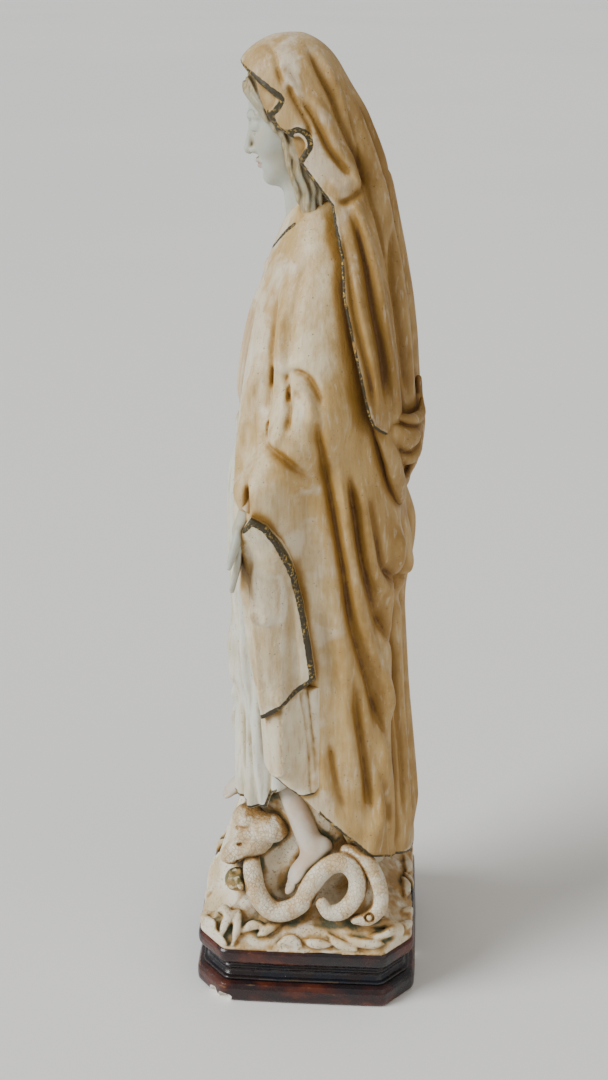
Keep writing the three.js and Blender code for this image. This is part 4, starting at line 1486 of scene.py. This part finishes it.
def ochre_hair():
    p = Paint("ochre_hair")
    shelter, worn = p.stored("cavity"), p.stored("wear")
    strands = p.clouds(1.3, 41, 3, (1, 1, 0.3), 0.4)
    colour = p.mix(p.band(strands, 0.36, 0.64), (0.27, 0.20, 0.09), (0.45, 0.37, 0.22))
    colour = p.mix(p.band(p.clouds(9, 42), 0.45, 0.65), colour, (0.34, 0.32, 0.22))
    # dirt and painted shade: dark in the hollows between the strands
    colour = p.mix(p.band(p.total((shelter, 1), (strands, 0.4)), 0.45, 0.95), colour, (0.12, 0.08, 0.03))
    colour = p.over(colour, p.band(worn, 0.4, 0.75), 0.5, (0.66, 0.6, 0.47))
    p.relief((strands, 0.22), (p.clouds(0.7, 43), 0.05))
    return p.done(colour, p.total((strands, 0.2), (1.0, 0.42)))


def cream_ground():
    """The ground's speckled cream; amber dirt and painted shade where it is sheltered and towards the back,
    and grey-green painted shade in some hollows.
    """
    p = Paint("cream_ground")
    shelter, worn = p.stored("cavity"), p.stored("wear")
    patches = p.clouds(16, 51, 6)
    colour = p.mix(p.band(patches, 0.38, 0.62), (0.80, 0.73, 0.57), (0.66, 0.52, 0.31))
    # dirt in hollows, with painted shade there and darker towards the back
    dirt_and_shade = p.total((shelter, 1.0), (p.clouds(4, 52, 5), 0.6), (p.band(p.y, 0.0, 0.05), 0.12))
    colour = p.mix(p.band(dirt_and_shade, 0.5, 0.85), colour, (0.42, 0.24, 0.07))
    colour = p.mix(p.band(dirt_and_shade, 0.85, 1.15), colour, (0.13, 0.085, 0.03))
    # painted shade: grey-green patches in the sheltered hollows
    green_shade = p.maths("MULTIPLY", p.band(p.clouds(8, 53), 0.5, 0.62), p.band(shelter, 0.3, 0.6))
    colour = p.mix(green_shade, colour, (0.09, 0.10, 0.055))
    colour = p.over(colour, p.band(worn, 0.35, 0.7), 0.7, PALE)
    specks = p.band(p.total((p.clouds(1.0, 54, 3), 1), (p.clouds(9, 55), 0.3)), 0.74, 0.84)
    colour = p.over(colour, specks, 0.7, (0.3, 0.19, 0.07))
    p.relief((p.clouds(3.2, 56, 5), 0.5), (p.clouds(0.9, 57, 4), 0.16), (specks, -0.1))
    return p.done(colour, p.total((p.clouds(5, 58), 0.3), (1.0, 0.4)))


def speckled_serpent():
    p = Paint("speckled_serpent")
    shelter, worn = p.stored("cavity"), p.stored("wear")
    scale_edges = p.cells(1.7, 61, edges=True)
    colour = p.mix(p.band(p.clouds(9, 62, 5), 0.4, 0.6), (0.78, 0.70, 0.54), (0.62, 0.46, 0.26))
    # dirt in hollows, with painted shade there, near black in the deepest
    dirt_and_shade = p.total((shelter, 1.0), (p.clouds(3, 63, 5), 0.6))
    colour = p.mix(p.band(dirt_and_shade, 0.5, 0.85), colour, (0.40, 0.22, 0.065))
    colour = p.mix(p.band(dirt_and_shade, 0.88, 1.2), colour, (0.11, 0.07, 0.025))
    lines = p.maths("MULTIPLY", p.band(scale_edges, 0.10, 0.02), p.band(p.clouds(6, 64), 0.4, 0.6))
    colour = p.over(colour, lines, 0.55, (0.36, 0.22, 0.09))
    colour = p.over(colour, p.band(worn, 0.4, 0.75), 0.6, PALE)
    specks = p.band(p.clouds(0.9, 65, 3), 0.62, 0.7)
    colour = p.over(colour, specks, 0.6, (0.24, 0.15, 0.06))
    p.relief((p.band(scale_edges, 0.0, 0.14), 0.18), (p.clouds(2.4, 66, 4), 0.22), (p.clouds(0.7, 67), 0.06))
    return p.done(colour, p.total((p.clouds(4, 68), 0.3), (1.0, 0.36)))


def olive_apple():
    p = Paint("olive_apple")
    shelter = p.stored("cavity")
    colour = p.mix(p.band(p.clouds(4, 71, 5), 0.42, 0.58), (0.14, 0.12, 0.04), (0.36, 0.22, 0.07))
    colour = p.mix(p.band(p.clouds(2.4, 72, 4), 0.54, 0.64), colour, (0.6, 0.5, 0.32))
    # painted shade: near black in the hollows
    colour = p.mix(p.band(shelter, 0.3, 0.8), colour, (0.05, 0.04, 0.015))
    p.relief((p.clouds(1.6, 73, 4), 0.25), (p.clouds(0.6, 74), 0.06))
    return p.done(colour, p.total((p.clouds(3, 75), 0.4), (1.0, 0.25)))


def plinth_gloss(name, body, shade, ridge, seed, ridge_share):
    """Thick glossy paint on the plinth, worn to bronze on its ridges, which also paints their highlights,
    with painted shade in its hollows and towards the back, and chipped to white plaster.
    """
    p = Paint(name)
    shelter, worn = p.stored("cavity"), p.stored("wear")
    patches = p.clouds(14, seed, 5, (1, 1, 2.2))
    colour = p.mix(p.band(patches, 0.42, 0.56), body, shade)
    # dark patches at random, and painted shade that darkens towards the back
    dark_patches_and_back_shade = p.total((p.clouds(30, seed + 8, 3), 1), (p.band(p.y, -0.03, 0.05), 0.12))
    colour = p.mix(p.band(dark_patches_and_back_shade, 0.55, 0.7), colour, (0.014, 0.010, 0.012))
    # painted shade: near black in the hollows
    colour = p.mix(p.band(shelter, 0.25, 0.8), colour, (0.012, 0.008, 0.008))
    # worn bronze paint on the ridges, which also paints their highlights
    bronze = p.total((worn, 1.2), (p.clouds(5, seed + 1, 5, (1, 1, 3)), 1.0), (1.0, -0.28))
    shine = p.maths("MULTIPLY", p.band(bronze, 0.54, 0.9), ridge_share)
    colour = p.mix(shine, colour, ridge)
    dust = p.band(p.total((p.clouds(1.6, seed + 2, 6), 1), (worn, 0.12)), 0.76, 0.84)
    colour = p.over(colour, dust, 0.75, PLASTER)
    bare = p.band(p.total((p.stored("trim"), 1), (p.clouds(1.6, seed + 3, 4), 0.8), (1.0, -0.4)), 0.25, -0.1)
    colour = p.mix(bare, colour, p.mix(p.band(p.clouds(1.2, seed + 4), 0.4, 0.7), PLASTER, (0.6, 0.5, 0.36)))
    lumps = p.clouds(3.4, seed + 5, 4, (1, 1, 1.6))
    p.relief((lumps, 0.35), (bare, -0.35), (p.clouds(0.9, seed + 6), 0.05))
    p.put(p.shader.inputs["Metallic"], p.maths("MULTIPLY", shine, 0.5))
    return p.done(colour, p.total((bare, 0.5), (dust, 0.3), (p.clouds(4, seed + 7), 0.25), (1.0, 0.14)))


def rusty_iron():
    p = Paint("rusty_iron")
    rust = p.band(p.clouds(2.5, 91, 5), 0.42, 0.6)
    colour = p.mix(rust, (0.10, 0.095, 0.09), (0.22, 0.09, 0.035))
    p.put(p.shader.inputs["Metallic"], p.band(rust, 0.7, 0.2))
    p.relief((p.clouds(1.0, 92, 4), 0.08))
    return p.done(colour, p.total((rust, 0.35), (1.0, 0.4)))


# clean, warm and deep colours (the deep one paints dirt and shade in folds and towards the back), seed, age,
# half the width of the painted line, and how broken it is
CLOTHS = {
    "ivory": ((0.74, 0.62, 0.40), (0.52, 0.335, 0.12), (0.30, 0.155, 0.022), 1, 0.16, 0.9, 0.33),
    "hem": ((0.74, 0.64, 0.44), (0.52, 0.36, 0.165), (0.27, 0.145, 0.028), 21, 0.04, 0.8, 0.2),
    "veil": ((0.66, 0.52, 0.30), (0.45, 0.285, 0.105), (0.26, 0.135, 0.018), 101, 0.24, 0.85, 0.3),
    "robe": ((0.69, 0.69, 0.58), (0.59, 0.51, 0.34), (0.31, 0.20, 0.07), 201, -0.2, 0.7, 0.33),
    "bodice": ((0.71, 0.61, 0.43), (0.54, 0.37, 0.19), (0.31, 0.17, 0.045), 301, 0.0, 0.7, 0.25),
    "lapel": ((0.74, 0.67, 0.49), (0.54, 0.40, 0.21), (0.30, 0.17, 0.04), 401, 0.0, 1.35, 0.24),
}
LOOK = {look: aged_and_shaded_cloth(f"{look}_cloth", *values) for look, values in CLOTHS.items()}
LOOK |= {
    "skin": aged_and_shaded_skin("grey_skin", (0.48, 0.50, 0.43), (0.47, 0.44, 0.33), 31),
    "foot": aged_and_shaded_skin("foot_skin", (0.62, 0.56, 0.46), (0.58, 0.44, 0.32), 331),
    "hair": ochre_hair(),
    "ground": cream_ground(),
    "serpent": speckled_serpent(),
    "apple": olive_apple(),
    "brown": plinth_gloss("brown_gloss", (0.085, 0.018, 0.008), (0.028, 0.009, 0.008), (0.44, 0.22, 0.07),
                          501, 0.85),
    "black": plinth_gloss("black_gloss", (0.008, 0.010, 0.016), (0.016, 0.010, 0.010), (0.20, 0.12, 0.05),
                          601, 0.28),
    "iron": rusty_iron(),
}


# ---- the pieces ----
def sided_box(side, inner, outer, low, high):
    """A box's corners on one side of the figure, from its x inwards and outwards and its (y, z) corners."""
    left, right = sorted((side * inner, side * outer))
    return (left, *low), (right, *high)


def make_dress():
    Piece("mantle_cloth", mantle_field, (-62, -40, 40), (62, 52, 334), 0.7,
          "ivory", "mantle_ivory", ["mantle"], mantle_trims)
    Piece("veil_cloth", veil_field, (-48, -34, 226), (48, 48, 403), 0.6,
          "veil", "veil_ivory", ["veil"], veil_trims, bulk=veil_bulk)
    Piece("robe_skirt_cloth", skirt_field, (-38, -38, 42), (38, 40, 254), 0.7,
          "robe", "robe_cream", ["robe_skirt"], skirt_trims)
    Piece("robe_bodice_cloth", BODICE, (-34, -34, 242), (34, 30, 336), 0.6,
          "bodice", "robe_cream", ["robe_bodice"], collar_trims)
    Piece("sash_cloth", sash_field, (-36, -36, 243), (36, 4, 256), 0.5, "robe", "robe_cream", ["sash"])


def make_arm(side, word):
    """The lapel, hem fold, cuff and hand of one side: 1 is the left and -1 the right."""
    Piece(f"{word}_lapel_cloth", laid(LAPEL, LAPEL_SHAPE, FLAP_LIFT, side),
          *sided_box(side, 14, 64, (-36, 130), (14, 234)), 0.55,
          "lapel", "mantle_ivory", [f"{word}_lapel"], lapel_trims)
    Piece(f"{word}_hem_fold_cloth", laid(TIER, TIER_SHAPE, TIER_LIFT, side, (2, 9)),
          *sided_box(side, 14, 64, (-30, 94), (18, 154)), 0.55,
          "hem", "mantle_ivory", [f"{word}_hem_fold"], lambda p: TIER_BORDER(p) - 0.4)
    Piece(f"{word}_cuff", sleeve_field_for(side), *sided_box(side, 36, 60, (-30, 220), (0, 248)), 0.45,
          "bodice", "robe_cream", [f"{word}_sleeve"])
    Piece(f"{word}_palm", hand_field_for(side), *sided_box(side, 40, 62, (-32, 192), (-12, 234)), 0.32,
          "skin", "skin_grey", [f"{word}_hand"])


def make_head():
    Piece("face_and_neck", head_field, (-19, -32, 314), (19, 18, 396), 0.36,
          "skin", "skin_grey", ["head"], face_trims, mouth_tint)
    Piece("hair_locks", hair_field, (-20, -30, 320), (20, 22, 397), 0.42, "hair", "hair_ochre", ["hair"])
    Piece("gathered_folds", gather_field, (-4, 22, 220), (40, 50, 277), 0.45,
          "veil", "veil_ivory", ["veil_gather"])


def make_ground():
    Piece("ground_mound", ground_field, (-51, -49, 24), (51, 49, 97), 0.6, "ground", "ground_cream",
          ["ground"])
    for name, node, field, low, high in (
        ("serpent_coils", "serpent_body", coil_field, (18, -30, 34), (50, 30, 72)),
        ("serpent_tail_end", "serpent_tail", tail_field, (24, 12, 34), (50, 38, 72)),
        ("serpent_face", "serpent_head", serpent_head_field, (8, -44, 48), (38, -6, 82)),
    ):
        Piece(name, field, low, high, 0.4, "serpent", "serpent_cream", [node])
    Piece("apple_fruit", apple_field, (22, -39, 42), (42, -21, 60), 0.35, "apple", "apple_olive", ["apple"])
    left_foot = foot_field_for((31, 9, 69), (33, -8, 51), (21, -8, 92), 1)
    right_foot = foot_field_for((-13, -18, 82), (-17, -41, 66), (-12, -16, 92), -1)
    Piece("left_bare_foot", left_foot, (8, -22, 40), (46, 20, 98), 0.38, "foot", "skin_grey", ["left_foot"])
    Piece("right_bare_foot", right_foot, (-32, -52, 56), (2, -4, 96), 0.38, "foot", "skin_grey",
          ["right_foot"])


def make_plinth():
    """The three bands of the moulding, each with its heights and its box's heights."""
    for name, node, (low, high), (box_low, box_high), colour in (
        ("plinth_foot_band", "plinth_foot", (0, 9.3), (-1, 10), "brown"),
        ("plinth_dark_cove", "plinth_cove", (9.3, 18.6), (8.6, 19.4), "black"),
        ("plinth_top_band", "plinth_rim", (18.6, PLINTH_TOP), (18, 27), "brown"),
    ):
        Piece(name, plinth_field_for(low, high), (-53, -51, box_low), (53, 51, box_high), 0.5,
              colour, f"plinth_{colour}", [node], chipped)


make_dress()
make_arm(1, "left")
make_arm(-1, "right")
make_head()
make_ground()
make_plinth()
for name in ("armature_rod", "left_wrist_wire", "right_wrist_wire"):
    mesh = bpy.data.objects[name].data
    mesh.materials.clear()
    mesh.materials.append(LOOK["iron"])
for piece in PIECES.values():
    piece.build()


# ---- floor, light and camera ----
def at_azimuth(degrees, distance, height, across=0.0):
    """A place round the figure: azimuth 0 is in front of it, and 90 is on its left."""
    a = math.radians(degrees)
    back = Vector((math.sin(a), -math.cos(a), 0))
    right = Vector((math.cos(a), math.sin(a), 0))
    return back * distance + right * across + Vector((0, 0, height))


def pale_floor():
    p = Paint("pale_floor")
    colour = p.mix(p.band(p.clouds(900, 95, 3), 0.35, 0.65), (0.90, 0.89, 0.87), (0.87, 0.865, 0.85))
    p.relief((p.clouds(6, 96), 0.02))
    return p.done(colour, p.total((p.clouds(60, 97), 0.1), (1.0, 0.6)))


FLOOR_SIZE = 40
bpy.ops.mesh.primitive_plane_add(size=FLOOR_SIZE)
floor = bpy.context.object
floor.name = "floor"
floor.data.materials.append(pale_floor())


def add_sun(name, azimuth, elevation, strength, softness, colour):
    """A light from far away: where it stands and how wide it looks are in degrees."""
    data = bpy.data.lights.new(name, "SUN")
    data.energy = strength
    data.angle = math.radians(softness)
    data.color = colour
    lamp = bpy.data.objects.new(name, data)
    up = math.radians(elevation)
    where = at_azimuth(azimuth, math.cos(up), math.sin(up))
    lamp.rotation_euler = (-where).to_track_quat("-Z", "Y").to_euler()
    bpy.context.scene.collection.objects.link(lamp)


add_sun("window", azimuth=26, elevation=34, strength=3.4, softness=30, colour=(0.95, 0.98, 1.0))
add_sun("room", azimuth=140, elevation=40, strength=0.5, softness=60, colour=(1.0, 0.88, 0.7))
world = bpy.data.worlds.new("studio")
bpy.context.scene.world = world
world.use_nodes = True
background = world.node_tree.nodes["Background"]
background.inputs["Color"].default_value = (0.93, 0.93, 0.92, 1)
background.inputs["Strength"].default_value = 0.42

CAMERA_AZIMUTH, CAMERA_TILT = 94, 21  # degrees round from the front, and degrees looking down
CAMERA_DISTANCE, CAMERA_HEIGHT, CAMERA_SHIFT = 0.626, 0.4372, -0.003  # metres from the upright axis
camera_data = bpy.data.cameras.new("camera")
camera_data.sensor_fit = "VERTICAL"
camera_data.sensor_height = 36
camera_data.lens = 53.33
camera = bpy.data.objects.new("camera", camera_data)
camera.location = at_azimuth(CAMERA_AZIMUTH, CAMERA_DISTANCE, CAMERA_HEIGHT, CAMERA_SHIFT)
camera.rotation_euler = (math.radians(90 - CAMERA_TILT), 0, math.radians(CAMERA_AZIMUTH))
bpy.context.scene.collection.objects.link(camera)
bpy.context.scene.camera = camera
